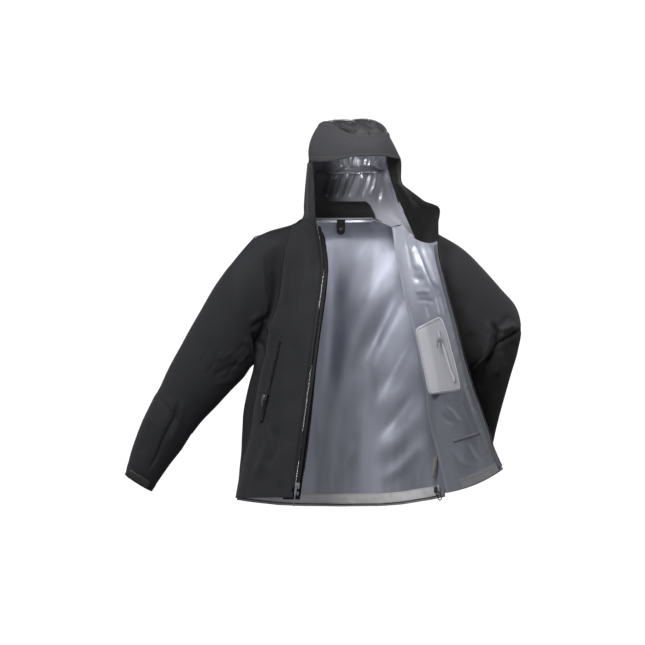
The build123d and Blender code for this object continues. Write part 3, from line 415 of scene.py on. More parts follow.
def fabric(name, G, outer, inner, flip=1, thick=1.1, rim=None, hole=None):
    """Closed cloth sheet: G is its outside face, the inside face lies thick behind it."""
    m, n = G.shape[:2]
    N = normals(G) * flip
    V = np.concatenate([G.reshape(-1, 3), (G + N * thick).reshape(-1, 3)])
    k = m * n
    I = np.arange(k).reshape(m, n)
    a, b, c, d = I[:-1, :-1].ravel(), I[1:, :-1].ravel(), I[1:, 1:].ravel(), I[:-1, 1:].ravel()
    Q = np.stack([a, b, c, d], 1)
    if flip > 0:
        Q = Q[:, ::-1]
    R = Q[:, ::-1] + k
    loop = np.concatenate([I[0, :], I[1:, -1], I[-1, -2::-1], I[-2:0:-1, 0]])
    nx = np.roll(loop, -1)
    S = np.stack([loop, nx, nx + k, loop + k], 1)
    if flip < 0:
        S = S[:, ::-1]
    F = np.concatenate([Q, R, S])
    mats = [outer, inner] + ([rim] if rim else [])
    mi = [0] * len(Q) + [1] * len(R) + [2 if rim else 0] * len(S)
    U = grid_uv(G).reshape(-1, 2)
    return sharp_rim(add_mesh(name, V, F, mats, np.concatenate([U, U]), mi), loop, k)


def sharp_rim(o, rim, k):
    """Crisp shading where a sheet meets its cut edge."""
    me = o.data
    f = np.zeros(len(me.vertices), bool)
    f[rim] = True
    g = np.zeros(len(me.vertices), bool)
    g[A(rim).astype(int) + k] = True
    e = np.zeros(2 * len(me.edges), np.int32)
    me.edges.foreach_get("vertices", e)
    e = e.reshape(-1, 2)
    s = (f[e[:, 0]] & f[e[:, 1]]) | (g[e[:, 0]] & g[e[:, 1]])
    at = me.attributes.get("sharp_edge") or me.attributes.new("sharp_edge", "BOOLEAN", "EDGE")
    at.data.foreach_set("value", s)
    me.update()
    return o


def sleeve_mesh(name, G, outer, inner, thick=1.1):
    """Closed cloth tube. G rows go along it, columns go round it."""
    m, n = G.shape[:2]
    N = normals(G, True)
    C = G.mean(axis=1, keepdims=True)
    if (N * (G - C)).sum() < 0:
        N = -N
    V = np.concatenate([G.reshape(-1, 3), (G - N * thick).reshape(-1, 3)])
    k = m * n
    I = np.arange(k).reshape(m, n)
    J = np.roll(I, -1, axis=1)
    Q = np.stack([I[:-1].ravel(), I[1:].ravel(), J[1:].ravel(), J[:-1].ravel()], 1)
    p = V[Q[0]]
    if np.dot(np.cross(p[1] - p[0], p[2] - p[0]), N.reshape(-1, 3)[Q[0][0]]) < 0:
        Q = Q[:, ::-1]
        S = np.concatenate([np.stack([I[0], I[0] + k, J[0] + k, J[0]], 1), np.stack([I[-1], J[-1], J[-1] + k, I[-1] + k], 1)])
    else:
        S = np.concatenate([np.stack([I[0], J[0], J[0] + k, I[0] + k], 1), np.stack([I[-1], I[-1] + k, J[-1] + k, J[-1]], 1)])
    R = Q[:, ::-1] + k
    F = np.concatenate([Q, R, S])
    mi = [0] * len(Q) + [1] * len(R) + [0] * len(S)
    u = np.concatenate([np.zeros((m, 1)), np.cumsum(np.linalg.norm(np.diff(G, axis=1), axis=2), axis=1)], axis=1)
    a = np.concatenate([np.zeros((1, n)), np.cumsum(np.linalg.norm(np.diff(G, axis=0), axis=2), axis=0)])
    U = np.stack([u, a], 2).reshape(-1, 2)
    return sharp_rim(add_mesh(name, V, F, [outer, inner], np.concatenate([U, U]), mi), np.concatenate([I[0], I[-1]]), k)


def ribbon(name, P, U, N, w, h, mat, crown=0.0, k=7):
    """Tape along P, w wide along U and h thick along N, with rounded edges."""
    P = A(P)
    m = len(P)
    U = np.broadcast_to(A(U), (m, 3)) if A(U).ndim == 1 else A(U)
    N = np.broadcast_to(A(N), (m, 3)) if A(N).ndim == 1 else A(N)
    w = np.broadcast_to(A(w), (m,))
    prof = []
    for s in np.linspace(-1, 1, k):
        prof.append((s, 1.0 - 0.35 * abs(s) ** 6))
    ring = [(s, q) for s, q in prof] + [(s, -q) for s, q in prof[::-1]]
    V = []
    for i in range(m):
        for s, q in ring:
            V.append(P[i] + U[i] * s * w[i] / 2 + N[i] * (q * h / 2 + crown * (1 - s * s)))
    V = A(V)
    r = len(ring)
    F = []
    for i in range(m - 1):
        for j in range(r):
            q = (j + 1) % r
            F.append((i * r + j, i * r + q, (i + 1) * r + q, (i + 1) * r + j))
    F.append(tuple(range(r))[::-1])
    F.append(tuple((m - 1) * r + j for j in range(r)))
    L = np.concatenate([[0], np.cumsum(np.linalg.norm(np.diff(P, axis=0), axis=1))])
    uv = [(ring[j][0] * 6, L[i]) for i in range(m) for j in range(r)]
    return add_mesh(name, V, F, [mat], uv)


def round_cord(name, P, r, mat, n=10, lumps=0.0, caps=True):
    P = A(P)
    D = np.gradient(P, axis=0)
    D /= np.linalg.norm(D, axis=1, keepdims=True)
    ref = unit(np.cross(D[0], (0.31, 0.17, 0.93)))
    L = np.concatenate([[0], np.cumsum(np.linalg.norm(np.diff(P, axis=0), axis=1))])
    V, uv = [], []
    for i, (p, d) in enumerate(zip(P, D)):
        ref = unit(ref - d * np.dot(ref, d))
        s = np.cross(d, ref)
        e = min(L[i], L[-1] - L[i])
        rr = r * (1 - 0.65 * max(0, 1 - e / (r * 0.9)) ** 2) if caps else r
        for k in range(n):
            a = 2 * math.pi * k / n
            q = rr * (1 + lumps * math.cos(3 * a + L[i] * 1.6))
            V.append(p + q * (ref * math.cos(a) + s * math.sin(a)))
            uv.append((k * 2 * math.pi * r / n, L[i]))
    F = []
    m = len(P)
    for i in range(m - 1):
        for k in range(n):
            q = (k + 1) % n
            F.append((i * n + k, i * n + q, (i + 1) * n + q, (i + 1) * n + k))
    F.append(tuple(range(n))[::-1])
    F.append(tuple((m - 1) * n + k for k in range(n)))
    return add_mesh(name, V, F, [mat], uv)


def coil(name, P, U, N, w=3.4, h=2.2, pitch=1.6, mat="coil"):
    """Zip coil: one rounded wire turn after another along P."""
    P = curve(P, 400) if len(P) < 400 else A(P)
    L = np.concatenate([[0], np.cumsum(np.linalg.norm(np.diff(P, axis=0), axis=1))])
    U = np.broadcast_to(A(U), P.shape) if A(U).ndim == 1 else herm(U, np.linspace(0, 1, len(U)), np.linspace(0, 1, len(P)))
    N = np.broadcast_to(A(N), P.shape) if A(N).ndim == 1 else herm(N, np.linspace(0, 1, len(N)), np.linspace(0, 1, len(P)))
    cnt = int(L[-1] / pitch)
    V, F = [], []
    prof = [(-1, 0.15), (-0.86, 0.72), (-0.45, 1.0), (0.0, 0.93), (0.45, 1.0), (0.86, 0.72), (1, 0.15)]
    for c in range(cnt):
        i = np.interp((c + 0.5) * pitch, L, np.arange(len(P)))
        j = int(i)
        f = i - j
        p = P[j] * (1 - f) + P[min(j + 1, len(P) - 1)] * f
        u, n = unit(U[j]), unit(N[j])
        d = unit(np.cross(u, n))
        base = len(V)
        for s, q in prof:
            for a, b in ((-0.40, -0.5), (-0.40, 0.25), (-0.2, 0.5), (0.2, 0.5), (0.40, 0.25), (0.40, -0.5)):
                V.append(p + u * s * w / 2 + d * a * pitch * (0.55 + 0.45 * q) + n * b * h * (0.35 + 0.65 * q))
        for s in range(len(prof) - 1):
            for k in range(6):
                q = (k + 1) % 6
                F.append((base + s * 6 + k, base + s * 6 + q, base + s * 6 + 6 + q, base + s * 6 + 6 + k))
        F.append(tuple(base + k for k in range(6))[::-1])
        F.append(tuple(base + (len(prof) - 1) * 6 + k for k in range(6)))
    return add_mesh(name, V, F, [mat], None)


def stitches(name, P, U, N, mat="cord", pitch=3.0, length=2.0, r=0.32):
    """A row of small raised stitches along P."""
    P = A(P)
    L = np.concatenate([[0], np.cumsum(np.linalg.norm(np.diff(P, axis=0), axis=1))])
    N = np.broadcast_to(A(N), P.shape) if A(N).ndim == 1 else A(N)
    V, F = [], []
    for c in range(int(L[-1] / pitch)):
        s = (c + 0.5) * pitch
        q = A([np.interp(s, L, P[:, k]) for k in range(3)])
        q2 = A([np.interp(min(s + 0.5, L[-1]), L, P[:, k]) for k in range(3)])
        d = unit(q2 - q)
        n = unit([np.interp(s, L, N[:, k]) for k in range(3)])
        u = np.cross(d, n)
        base = len(V)
        for e, z in ((-0.5, -0.3), (-0.25, 1.0), (0.25, 1.0), (0.5, -0.3)):
            for a, b in ((-1, 0), (-0.5, 0.9), (0.5, 0.9), (1, 0)):
                V.append(q + d * e * length + u * a * r + n * (b * r + z * r * 0.6))
        for i in range(3):
            for k in range(4):
                kk = (k + 1) % 4
                F.append((base + i * 4 + k, base + i * 4 + kk, base + i * 4 + 4 + kk, base + i * 4 + 4 + k))
        F.append((base + 3, base + 2, base + 1, base))
        F.append((base + 12, base + 13, base + 14, base + 15))
    return add_mesh(name, V, F, [mat], None)


def repaint(n, mat):
    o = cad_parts[n]
    o.data.materials.clear()
    o.data.materials.append(M[mat])


def bevelled(n, mat, w=0.5):
    """A moulded or cast CAD part keeps its mesh; soft edges come from a bevel."""
    repaint(n, mat)
    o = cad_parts[n]
    b = o.modifiers.new("edge", "BEVEL")
    b.width = w / 1000.0
    b.segments = 2
    b.limit_method = "ANGLE"
    b.angle_limit = math.radians(35)
    for p in o.data.polygons:
        p.use_smooth = False


def half(z):
    return np.interp(-A(z), [-r[0] for r in SIDE], [r[1] for r in SIDE])


def col(tab, z, k):
    return np.interp(-A(z), [-r[2] for r in tab], [r[k] for r in tab])


def fold_x(z):
    return FX0 + (FX1 - FX0) * (-z) / 674.0


def hem_at(d):
    """Height of the right front's hem at depth d."""
    return at_view(0, 497.6, d)[2]


# ------------------------------------------------------------------ back
def back_xy(phi, z):
    a = half(z) - 1.0
    b = 92.0 * np.interp(-z, [40, 120, 350, 700], [0.98, 1.0, 0.94, 0.84])
    return -a * math.cos(phi), -48 + b * math.sin(phi) ** 0.92


PH = np.linspace(0.0, math.pi, 25)
YOKE = ((84, -34, 39, 27), (112, -39, 52, 13), (150, -43, 68, 2), (186, -46, 80, -9), (209, -47, 87, -24), (218.0, -48, 91, -50))
rows = []
for a, yy, b, z in YOKE:
    rows.append([(-a * math.cos(p), yy + b * max(0, math.sin(p)) ** 0.92, z + (1 - math.sin(p)) * (1 if z > 20 else 0)) for p in PH])
hz = [p[2] for p in BACK_HEM]
hx = [p[0] for p in BACK_HEM]
for f in (0.05, 0.14, 0.26, 0.38, 0.46, 0.54, 0.62, 0.72, 0.82, 0.91, 0.97, 1.0):
    r = []
    for p in PH:
        x, y = back_xy(p, -600.0)
        zb = float(np.interp(x, hx, hz))
        z = -50 + (zb + 50) * f
        x, y = back_xy(p, z)
        r.append((x, y, z))
    rows.append(r)
BACK = refine(rows, 190, 170)
BACKN = normals(BACK)
if BACKN[100, 85, 1] > 0:
    BACKN = -BACKN               # lining side
LIFT = lambda P: 20.0 * sm(P[..., 0], 95, 215) * sm(P[..., 2], -210, -40)
BACK[..., 2] += LIFT(BACK)
BX, BY = view(BACK)
h = waves(BACK, 3, 240, 1.2, stretch=(1, 0.3, 0.8))
# broad diagonal folds of the back, seen from inside
for pts, w, a in (
    (((402, 246), (388, 272), (371, 302), (355, 334), (344, 366), (338, 400)), 12.0, 12.0),
    (((378, 228), (364, 256), (350, 290), (342, 320)), 9.0, 5.5),
    (((412, 290), (398, 318), (382, 350), (368, 384), (358, 410)), 9.0, 7.0),
    (((409, 268), (396, 296), (381, 328), (366, 362)), 6.5, -6.5),
    (((424, 340), (411, 368), (396, 396), (378, 424)), 9.5, 6.0),
    (((418, 322), (405, 350), (390, 378), (374, 404)), 6.0, -5.0),
    (((432, 392), (416, 418), (396, 442), (372, 464)), 9.0, 7.0),
    (((426, 372), (411, 398), (393, 422), (374, 442)), 6.0, -5.0),
    (((434, 430), (418, 450), (398, 470), (376, 486)), 6.5, 4.5),
    (((332, 232), (331, 300), (328, 360), (322, 430)), 10.0, -5.0),
    (((345, 390), (338, 430), (334, 480)), 9.0, -2.5),
    (((356, 440), (346, 462), (336, 484)), 5.0, 2.5),
    (((326, 228), (340, 236), (360, 233)), 5.0, -3.0),
):
    h += ridge(BX, BY, pts, w, a, taper=0.38)
h *= sm(-BACK[..., 2], -20, 60) * sm(BY, 505, 488)
BACK = BACK + BACKN * h[..., None]
o = fabric("body_back", BACK, "shell", "lining", flip=1 if normals(BACK)[100, 85, 1] < 0 else -1)
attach(o, "torso")
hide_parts("back_panel", "back_yoke")


# ------------------------------------------------------------------ right front
def sec(P, Q, h, t):
    ch = Q - P
    n = unit(np.cross(ch, (0, 0, 1)))
    if n[1] > 0:
        n = -n
    C = (P + Q) / 2 + n * 2 * h
    return P * (1 - t) ** 2 + C * 2 * t * (1 - t) + Q * t * t


def right_pt(t, z):
    P = A((fold_x(z) + 1.0, FY - 1.0, z))
    zz = max(z, -661.0)
    Q = A((float(col(ZIP_R, zz, 0)), float(col(ZIP_R, zz, 1)), z))
    if z < -661:
        Q[:2] += (A(ZIP_R[-1][:2]) - A(ZIP_R[-2][:2])) * (-(z + 661) / 34.0)
    h = float(np.interp(-z, [-30, 0, 60, 250, 690], [2, 5, 14, 27, 27]))
    return sec(P, Q, h, t)


def right_row(f):
    row = []
    for w in (0.0, 0.35, 0.72):
        zt = float(np.interp(w, [0, 1], [-20.0, 2.0]))
        z = zt + (-687.0 - zt) * f
        if z > -346:
            xa, ya = float(col(ARM_FRONT, z, 0)) + 0.5, float(col(ARM_FRONT, z, 1))
        else:
            xa, ya = -float(half(z)) + 0.5, -50.0
        g = math.exp(-((z + 272.0) / 48.0) ** 2)       # tucked behind the sleeve at the underarm
        xa, ya = xa - 9.0 * g, ya + 18.0 * g
        xb, yb = fold_x(z), FY
        bow = -9 * w * (1 - w)
        row.append((xa + (xb - xa) * w, ya + (yb - ya) * w + bow, z))
    for t in (0.02, 0.12, 0.26, 0.42, 0.58, 0.74, 0.88, 1.0):
        zt = float(np.interp(t, [0, 0.3, 0.5, 0.62, 1.0], [3.0, 14.0, 24.0, 21.0, 1.5]))
        z = zt + (-680.0 - zt) * f
        q = right_pt(t, z)
        zb = hem_at(q[1])
        z = zt + (zb - zt) * f
        row.append(right_pt(t, z))
    return row


RF = refine([right_row(f) for f in (0, 0.02, 0.05, 0.09, 0.14, 0.2, 0.27, 0.34, 0.41, 0.47, 0.52, 0.58, 0.66, 0.74, 0.82, 0.9, 0.96, 1.0)], 220, 130)
RX, RY = view(RF)
n_ = normals(RF)
if n_[100, 60, 1] > 0:
    n_ = -n_
h = waves(RF, 5, 260, 1.4) + waves(RF, 6, 80, 0.45)
for pts, w, a in (
    (((304, 220), (304, 250), (303, 275), (299, 305), (294, 330), (288, 360), (281, 400)), 2.6, 2.6),     # placket ridge
    (((309, 226), (312, 250), (310, 280)), 4.0, -1.5),
    (((271, 246), (276, 270), (277, 300), (274, 326)), 6.5, -3.6),
    (((290, 236), (288, 270), (286, 310)), 6.0, 1.6),
    (((262, 250), (265, 280), (266, 308)), 3.0, 1.6),
    (((258, 318), (266, 322), (272, 334)), 3.0, 2.4),
    (((256, 338), (263, 346), (266, 360)), 3.0, -2.6),
    (((252, 352), (258, 362), (259, 376)), 3.0, 2.0),
    (((262, 418), (268, 440), (262, 462), (252, 480)), 5.0, 2.6),
    (((276, 425), (274, 450), (266, 470)), 4.5, -2.4),
    (((288, 440), (282, 468), (280, 490)), 5.0, 1.8),
    (((250, 400), (252, 430), (248, 460)), 5.0, -1.6),
    (((298, 330), (294, 370), (290, 420)), 7.0, -1.5),
):
    h += ridge(RX, RY, pts, w, a * (1.0 if w == 2.6 else 1.8))
e0 = np.minimum(1.0, np.arange(RF.shape[1])[::-1] / 6.0)[None, :]
RF = RF + n_ * (h * e0)[..., None]
flipr = 1 if (normals(RF)[100, 60, 1] > 0) else -1
o = fabric("body_front_right", RF, "shell", "lining", flip=flipr)
c0 = A((fold_x(-340) - 16, 0, 0)) / 1000
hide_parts("right_side_panel", "right_front_panel")
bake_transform(o)

# ------------------------------------------------------------------ left front, folded open
LT_, LB_ = A((-FX0, FY, 0.0)), A((-FX1, -60.0, -674.0))
LU = unit(LT_ - LB_)
LE = A(ZIP_L)
LEs = arc(LE)


def left_pt(t, v, off=0.0):
    B = herm(LE, LEs, [v])[0]
    P = LT_ + (LB_ - LT_) * v
    ch = unit(B - P)
    n = unit(np.cross(LU, ch))
    if n[1] > 0:
        n = -n
    P = P + ch * 1.0
    B = B - ch * 1.0
    lift = A((0, 0, 1)) * (-9.0 * 4 * t * (1 - t)) * max(0, (v - 0.85) / 0.15)
    return P + (B - P) * t - n * 4 * 9.0 * t * (1 - t) + n * off + lift


def left_row(v):
    z = -674.0 * v
    P = LT_ + (LB_ - LT_) * v
    zs = min(z, -20.0) if v < 0.03 else z
    if z > -346:
        xa, ya = -float(col(ARM_FRONT, min(z, -20), 0)) - 0.5, -58.0
    else:
        xa, ya = float(half(z)) - 0.5, -50.0
    row = [(xa, ya, min(z, -20.0)), (xa * 0.55 + P[0] * 0.45, -57.0, min(z, -9.0)), (xa * 0.2 + P[0] * 0.8, -56.0, z), (P[0] + 3.0, -56.0, z),
           (P[0] - 1.0, -57.6, z), (P[0] - 1.6, -61.0, z)]
    for t in (0.03, 0.08, 0.16, 0.28, 0.42, 0.56, 0.7, 0.84, 0.94, 1.0):
        row.append(left_pt(t, v))
    return row


LF = refine([left_row(v) for v in (0, 0.03, 0.07, 0.12, 0.18, 0.25, 0.33, 0.41, 0.5, 0.58, 0.66, 0.74, 0.82, 0.9, 0.96, 1.0)], 230, 190)
LF[:, :70, 2] += LIFT(LF[:, :70]) * (1 - sm(np.arange(70), 18, 42))[None, :]
_t = np.linspace(0, 1, LF.shape[1])[None, :]
_c = np.argmin(np.abs(LF[:, 40:100, 0] - (-FX0 + (FX0 - FX1) * (-LF[:, 40:100, 2] / 674.0))), axis=1) + 40
_px = np.interp(view(LF)[1][np.arange(LF.shape[0]), _c], [228, 236, 255, 285, 300, 322, 345, 368, 392, 410, 425, 437, 455, 480, 493], [0, -0.9, -2.6, -2.6, -2.4, 0, 0.7, 0, 0.4, -2.8, -3.6, -2, -0.7, 0, 1.0])
_px = np.convolve(np.pad(_px, 6, mode="edge"), np.ones(13) / 13, "valid")
LF[..., 0] += 2.54 * _px[:, None] * np.exp(-((_t * (LF.shape[1] - 1) - float(np.median(_c))) / 26.0) ** 2)
LF[..., 2] -= 16.0 * np.sin(np.pi * np.clip((_t - 0.34) / 0.66, 0, 1)) ** 0.8 * sm(-np.linspace(0, 1, LF.shape[0]), -0.10, 0.0)[:, None]
LX, LY = view(LF)
LN = normals(LF)
if LN[100, 150, 1] > 0:
    LN = -LN                      # lining side on the folded part
w_flap = sm(np.arange(LF.shape[1])[None, :] / (LF.shape[1] - 1.0), 0.30, 0.42)
h = waves(LF, 9, 150, 1.0)
for pts, w, a in (
    (((445, 292), (449, 318), (455, 345), (462, 372), (468, 398), (476, 420), (483, 440), (491, 458)), 2.2, 2.2),
    (((399, 230), (401, 244), (404, 258), (406, 270)), 2.4, 4.6),
    (((404.5, 238), (408, 254), (411, 272)), 1.8, -5.2),
    (((411, 245), (414, 257), (418, 271)), 3.0, 5.2),
    (((419, 242), (427, 262), (434, 279), (441, 291)), 3.2, 8.0),
    (((414, 240), (421, 260), (428, 277), (437, 291)), 2.0, -5.5),
    (((428, 240), (436, 262), (444, 284)), 2.4, -4.0),
    (((404, 277), (415, 279), (427, 281)), 4.0, -5.0),
    (((412, 293), (422, 291), (432, 291)), 2.4, 5.0),
    (((410, 302), (424, 300), (437, 302)), 2.0, -3.6),
    (((408, 296), (411, 306), (415, 320)), 2.0, -2.6),
    (((418, 306), (419, 316), (421, 324)), 1.8, 2.2),
    (((427, 303), (428, 311), (430, 318)), 1.4, -2.2),
    (((436, 296), (438, 308), (441, 318)), 1.2, 3.2),
    (((440, 293), (443, 306), (446, 318)), 1.2, -3.4),
    (((444, 290), (448, 306), (452, 322)), 1.2, 3.2),
    (((447, 300), (452, 316), (456, 330)), 1.1, -2.6),
    (((428, 404), (440, 408), (452, 416)), 3.0, 3.2),
    (((434, 412), (446, 420), (458, 424)), 2.6, -3.0),
    (((426, 416), (432, 434), (437, 452)), 2.6, -4.0),
    (((436, 420), (441, 432), (444, 446)), 2.0, 3.2),
    (((444, 404), (454, 412), (462, 424)), 1.8, 2.8),
    (((448, 448), (460, 460), (472, 468)), 3.2, 3.0),
    (((444, 456), (452, 468), (460, 476)), 2.6, -2.6),
    (((470, 440), (478, 455), (486, 466)), 2.6, -2.4),
    (((462, 400), (470, 420), (478, 440)), 1.8, -2.4),
    (((466, 440), (472, 452), (478, 462)), 1.6, 2.2),
):
    h += ridge(LX, LY, pts, w, a)
rr = np.random.RandomState(4)
for k in range(26):                # crumpled tape beside the coil
    v = 0.12 + 0.84 * k / 25.0
    c = view(left_pt(0.86, v))
    d = unit(A((rr.normal() * 0.6, 1.0)))
    L_ = 5 + 5 * rr.rand()
    h += ridge(LX, LY, ((c[0] - d[0] * L_, c[1] - d[1] * L_), (c[0] + rr.normal(), c[1]), (c[0] + d[0] * L_, c[1] + d[1] * L_)), 1.0 + rr.rand(), 0.9 * (1 if k % 2 else -1))
LF = LF + LN * (h * w_flap)[..., None]
flipl = 1 if (normals(LF)[100, 150, 1] < 0) else -1
# outside face is the shell: it faces away from the viewer on the folded part
o = fabric("body_front_left", LF, "shell", "flap_lining_painted_light", flip=flipl)
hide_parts("left_side_panel", "left_front_panel")
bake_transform(o)


# ------------------------------------------------------------------ shoulder joins
ktop = int(np.argmin(np.abs(BACK[:, 0, 2] + 44)))
sh_b = BACK[:ktop + 1, 0][::-1]
cw = int(np.argmin(np.abs(RF[0, :, 0] + 101)))
sh_a = RF[0, :cw + 1]
GA, GB = curve(sh_a[::4], 90), curve(sh_b[::3], 90)
q = np.linspace(-0.06, 1.06, 16)[:, None, None]
GS = GA[None] * (1 - q) + GB[None] * q + A((0, 0, 1)) * (3.0 * np.sin(math.pi * np.clip(q, 0, 1)) - 1.2)
fl = 1 if normals(GS)[8, 45, 2] < 0 else -1
o = fabric("shoulder_join_right", GS, "shell", "lining", flip=fl, thick=1.0)
_d = unit((0.6, -1.0, 0))
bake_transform(o)


sh_bl = BACK[14:33, -1]
sh_al = LF[0, :18][::-1]
GA, GB = curve(sh_al[::5], 90), curve(sh_bl[::5], 90)
GSL = GA[None] * (1 - q) + GB[None] * q + A((0, 0, 1)) * (2.2 * np.sin(math.pi * np.clip(q, 0, 1)) - 1.6)
fl = 1 if normals(GSL)[8, 45, 2] < 0 else -1
o = fabric("shoulder_join_left", GSL, "shell", "lining", flip=fl, thick=1.0)
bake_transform(o)


# ------------------------------------------------------------------ sleeves
def ring_of(a, b, dp, n=48, flat=0.0):
    a, b = A(a), A(b)
    c, u = (a + b) / 2, (a - b) / 2
    th = 2 * math.pi * np.arange(n) / n
    cs, sn = np.cos(th), np.sin(th)
    return c + u * (np.sign(cs) * np.abs(cs) ** (1 - flat))[:, None] + A((0, dp, 0)) * (np.sign(sn) * np.abs(sn) ** (1 - flat))[:, None]


def arm_ring(s, n=48):
    up_ = 2 if s > 0 else -20
    back = [(s * 219, -46, up_), (s * 212, -20, -80), (s * 205, -9, -183), (s * 212, -22, -290), (s * 221, -46, -346)]
    front = sorted([(-s * p[0], max(p[1], -60.0), p[2]) if s > 0 else tuple(p) for p in ARM_FRONT], key=lambda p: p[2])
    fr = [(s * 221, -48, -346)] + [p for p in front if -335 < p[2] < -30] + [(s * 219, -46, up_)]
    B = curve(back, n // 2 + 1)[:-1]
    F = curve(fr, n // 2 + 1)[:-1]
    return np.concatenate([B, F])


def tube_grid(rings, m, n=144):
    G = A(rings)
    G = herm(G, arc(G), np.linspace(0, 1, m))
    k = G.shape[1]
    th = np.arange(k + 5) - 2
    H = np.stack([G[:, (i % k)] for i in th], 0)
    out = herm(H, th.astype(float), np.arange(n) * k / n)
    return np.swapaxes(out, 0, 1)


def add_folds(G, folds, seed, base=0.9, scale=170, front=True):
    N = normals(G, True)
    C = G.mean(axis=1, keepdims=True)
    if (N * (G - C)).sum() < 0:
        N = -N
    X, Y = view(G)
    h = waves(G, seed, scale, base)
    w = np.clip(-N[..., 1] * 2.5 + 0.5, 0, 1)
    for pts, wd, a in folds:
        h += ridge(X, Y, pts, wd, a) * w
    return G + N * h[..., None]


RU, RL, LUp, LL = SLEEVE_R_UP, SLEEVE_R_LO, list(SLEEVE_L_UP), list(SLEEVE_L_LO)
# the bent elbow gathers cloth on its inside
LUp[4] = (LUp[4][0], (334.0, -38.0, -362.0))
LL[0] = (LL[0][0], (312.0, -38.0, -378.0))
LL[1] = (LL[1][0], (309.0, -38.0, -404.0))
LL[2] = (LL[2][0], (300.0, -38.0, -440.0))
R_rings = [arm_ring(-1)] + [ring_of(a, b, d) for (a, b), d in zip(RU[1:], (58, 57, 53, 50, 47, 45))] + [ring_of(a, b, d) for (a, b), d in zip(RL, (44.5, 43, 40, 37, 34))]
L_rings = [arm_ring(1)] + [ring_of(a, b, d) for (a, b), d in zip(LUp[1:], (56, 53, 49, 47))] + [ring_of(a, b, d) for (a, b), d in zip(LL, (46, 46, 45, 42, 39, 36, 34))]
RG = tube_grid(R_rings, 300)
LG = tube_grid(L_rings, 300)
RFOLD = (
    (((264, 250), (267, 280), (268, 305)), 1.3, -2.2),
    (((268, 316), (262, 321), (254, 326), (250, 332)), 2.2, -4.0),
    (((252, 330), (256, 342), (258, 354), (254, 363)), 2.6, -6.5),
    (((250, 322), (258, 316), (264, 314)), 2.5, 2.6),
    (((246, 336), (250, 348), (248, 358)), 3.0, 3.2),
    (((238, 350), (228, 355), (218, 362)), 1.9, 2.2),
    (((244, 364), (232, 366), (220, 372), (212, 380)), 2.0, -2.4),
    (((238, 378), (226, 382), (214, 385)), 2.4, 1.8),
    (((214, 338), (206, 352), (200, 368)), 2.8, -1.8),
    (((247, 343), (238, 350), (229, 356)), 1.4, -2.0),
    (((240, 358), (231, 370), (225, 380)), 1.4, -2.0),
    (((226, 348), (218, 360), (212, 374)), 1.5, 1.8),
    (((204, 376), (213, 366), (221, 357)), 1.3, -1.7),
    (((250, 352), (243, 360), (236, 366)), 1.5, 2.2),
    (((178, 396), (177, 408), (174, 419), (169, 428), (164, 437), (160, 448), (156, 458), (150, 468), (147, 474)), 1.5, -5.2),
    (((184, 396), (182, 410), (179, 424), (172, 438), (167, 450)), 3.4, 2.6),
    (((172, 396), (170, 410), (165, 422), (160, 434)), 3.0, 1.6),
    (((190, 300), (200, 330), (196, 360)), 9.0, -2.6),
    (((150, 420), (146, 440), (140, 456)), 4.0, -1.8),
    (((230, 262), (240, 290), (244, 320)), 8.0, 2.0),
)
LFOLD = (
    (((446, 240), (450, 262), (458, 290)), 5.0, -2.2),
    (((490, 321), (495, 326), (498, 333), (496.5, 345), (491, 356), (485, 368)), 2.1, -13.0),
    (((522, 328), (514, 333), (506, 338), (500, 343), (494, 350)), 1.9, -11.0),
    (((512, 316), (505, 320), (500, 328)), 3.0, -3.0),
    (((501, 330), (508, 328), (516, 324)), 2.8, 6.0),
    (((502, 340), (501, 334), (500, 326)), 2.4, 3.6),
    (((486, 318), (490, 334), (487, 350), (481, 362)), 2.8, 5.5),
    (((501, 350), (500, 362), (496, 378)), 3.2, 6.0),
    (((516, 340), (508, 352), (504, 366)), 4.0, -3.0),
    (((492, 352), (488, 362), (484, 376), (480, 395)), 3.2, -5.0),
    (((470, 330), (474, 346), (480, 360)), 5.0, -2.4),
    (((460, 300), (470, 322), (474, 340)), 6.0, 1.8),
    (((500, 380), (496, 400), (492, 420)), 4.0, -1.6),
)
RG = add_folds(RG, RFOLD, 21)
LG = add_folds(LG, LFOLD, 22, 1.1, 130)
rc = RG.mean(axis=1)
lc = LG.mean(axis=1)


def nearest(C, p):
    return int(np.argmin(np.linalg.norm(C - A(p), axis=1)))


def shrink(G, d):
    C = G.mean(axis=1, keepdims=True)
    v = G - C
    L = np.linalg.norm(v, axis=2, keepdims=True)
    return C + v * (L - d) / L


kr, kl = nearest(rc, (-422, -45, -467)), nearest(lc, (403, -38, -312))
def darken_ends(o, G, first, last):
    """Inside faces near a tucked end take the outside cloth, as the turned seam allowance does."""
    m, n = G.shape[:2]
    q = (m - 1) * n
    mi = np.zeros(len(o.data.polygons), np.int32)
    o.data.polygons.foreach_get("material_index", mi)
    if first:
        mi[q:q + first * n] = 0
    if last:
        mi[2 * q - last * n:2 * q] = 0
    o.data.polygons.foreach_set("material_index", mi)


def tucked(G):
    """The last rows dip under the neighbouring piece, so no cut edge shows."""
    G = G.copy()
    for r, d in ((-1, 2.6), (-2, 1.3), (-3, 0.4)):
        G[r] = shrink(G[r:r + 1] if r < -1 else G[-1:], d)[0]
    return G


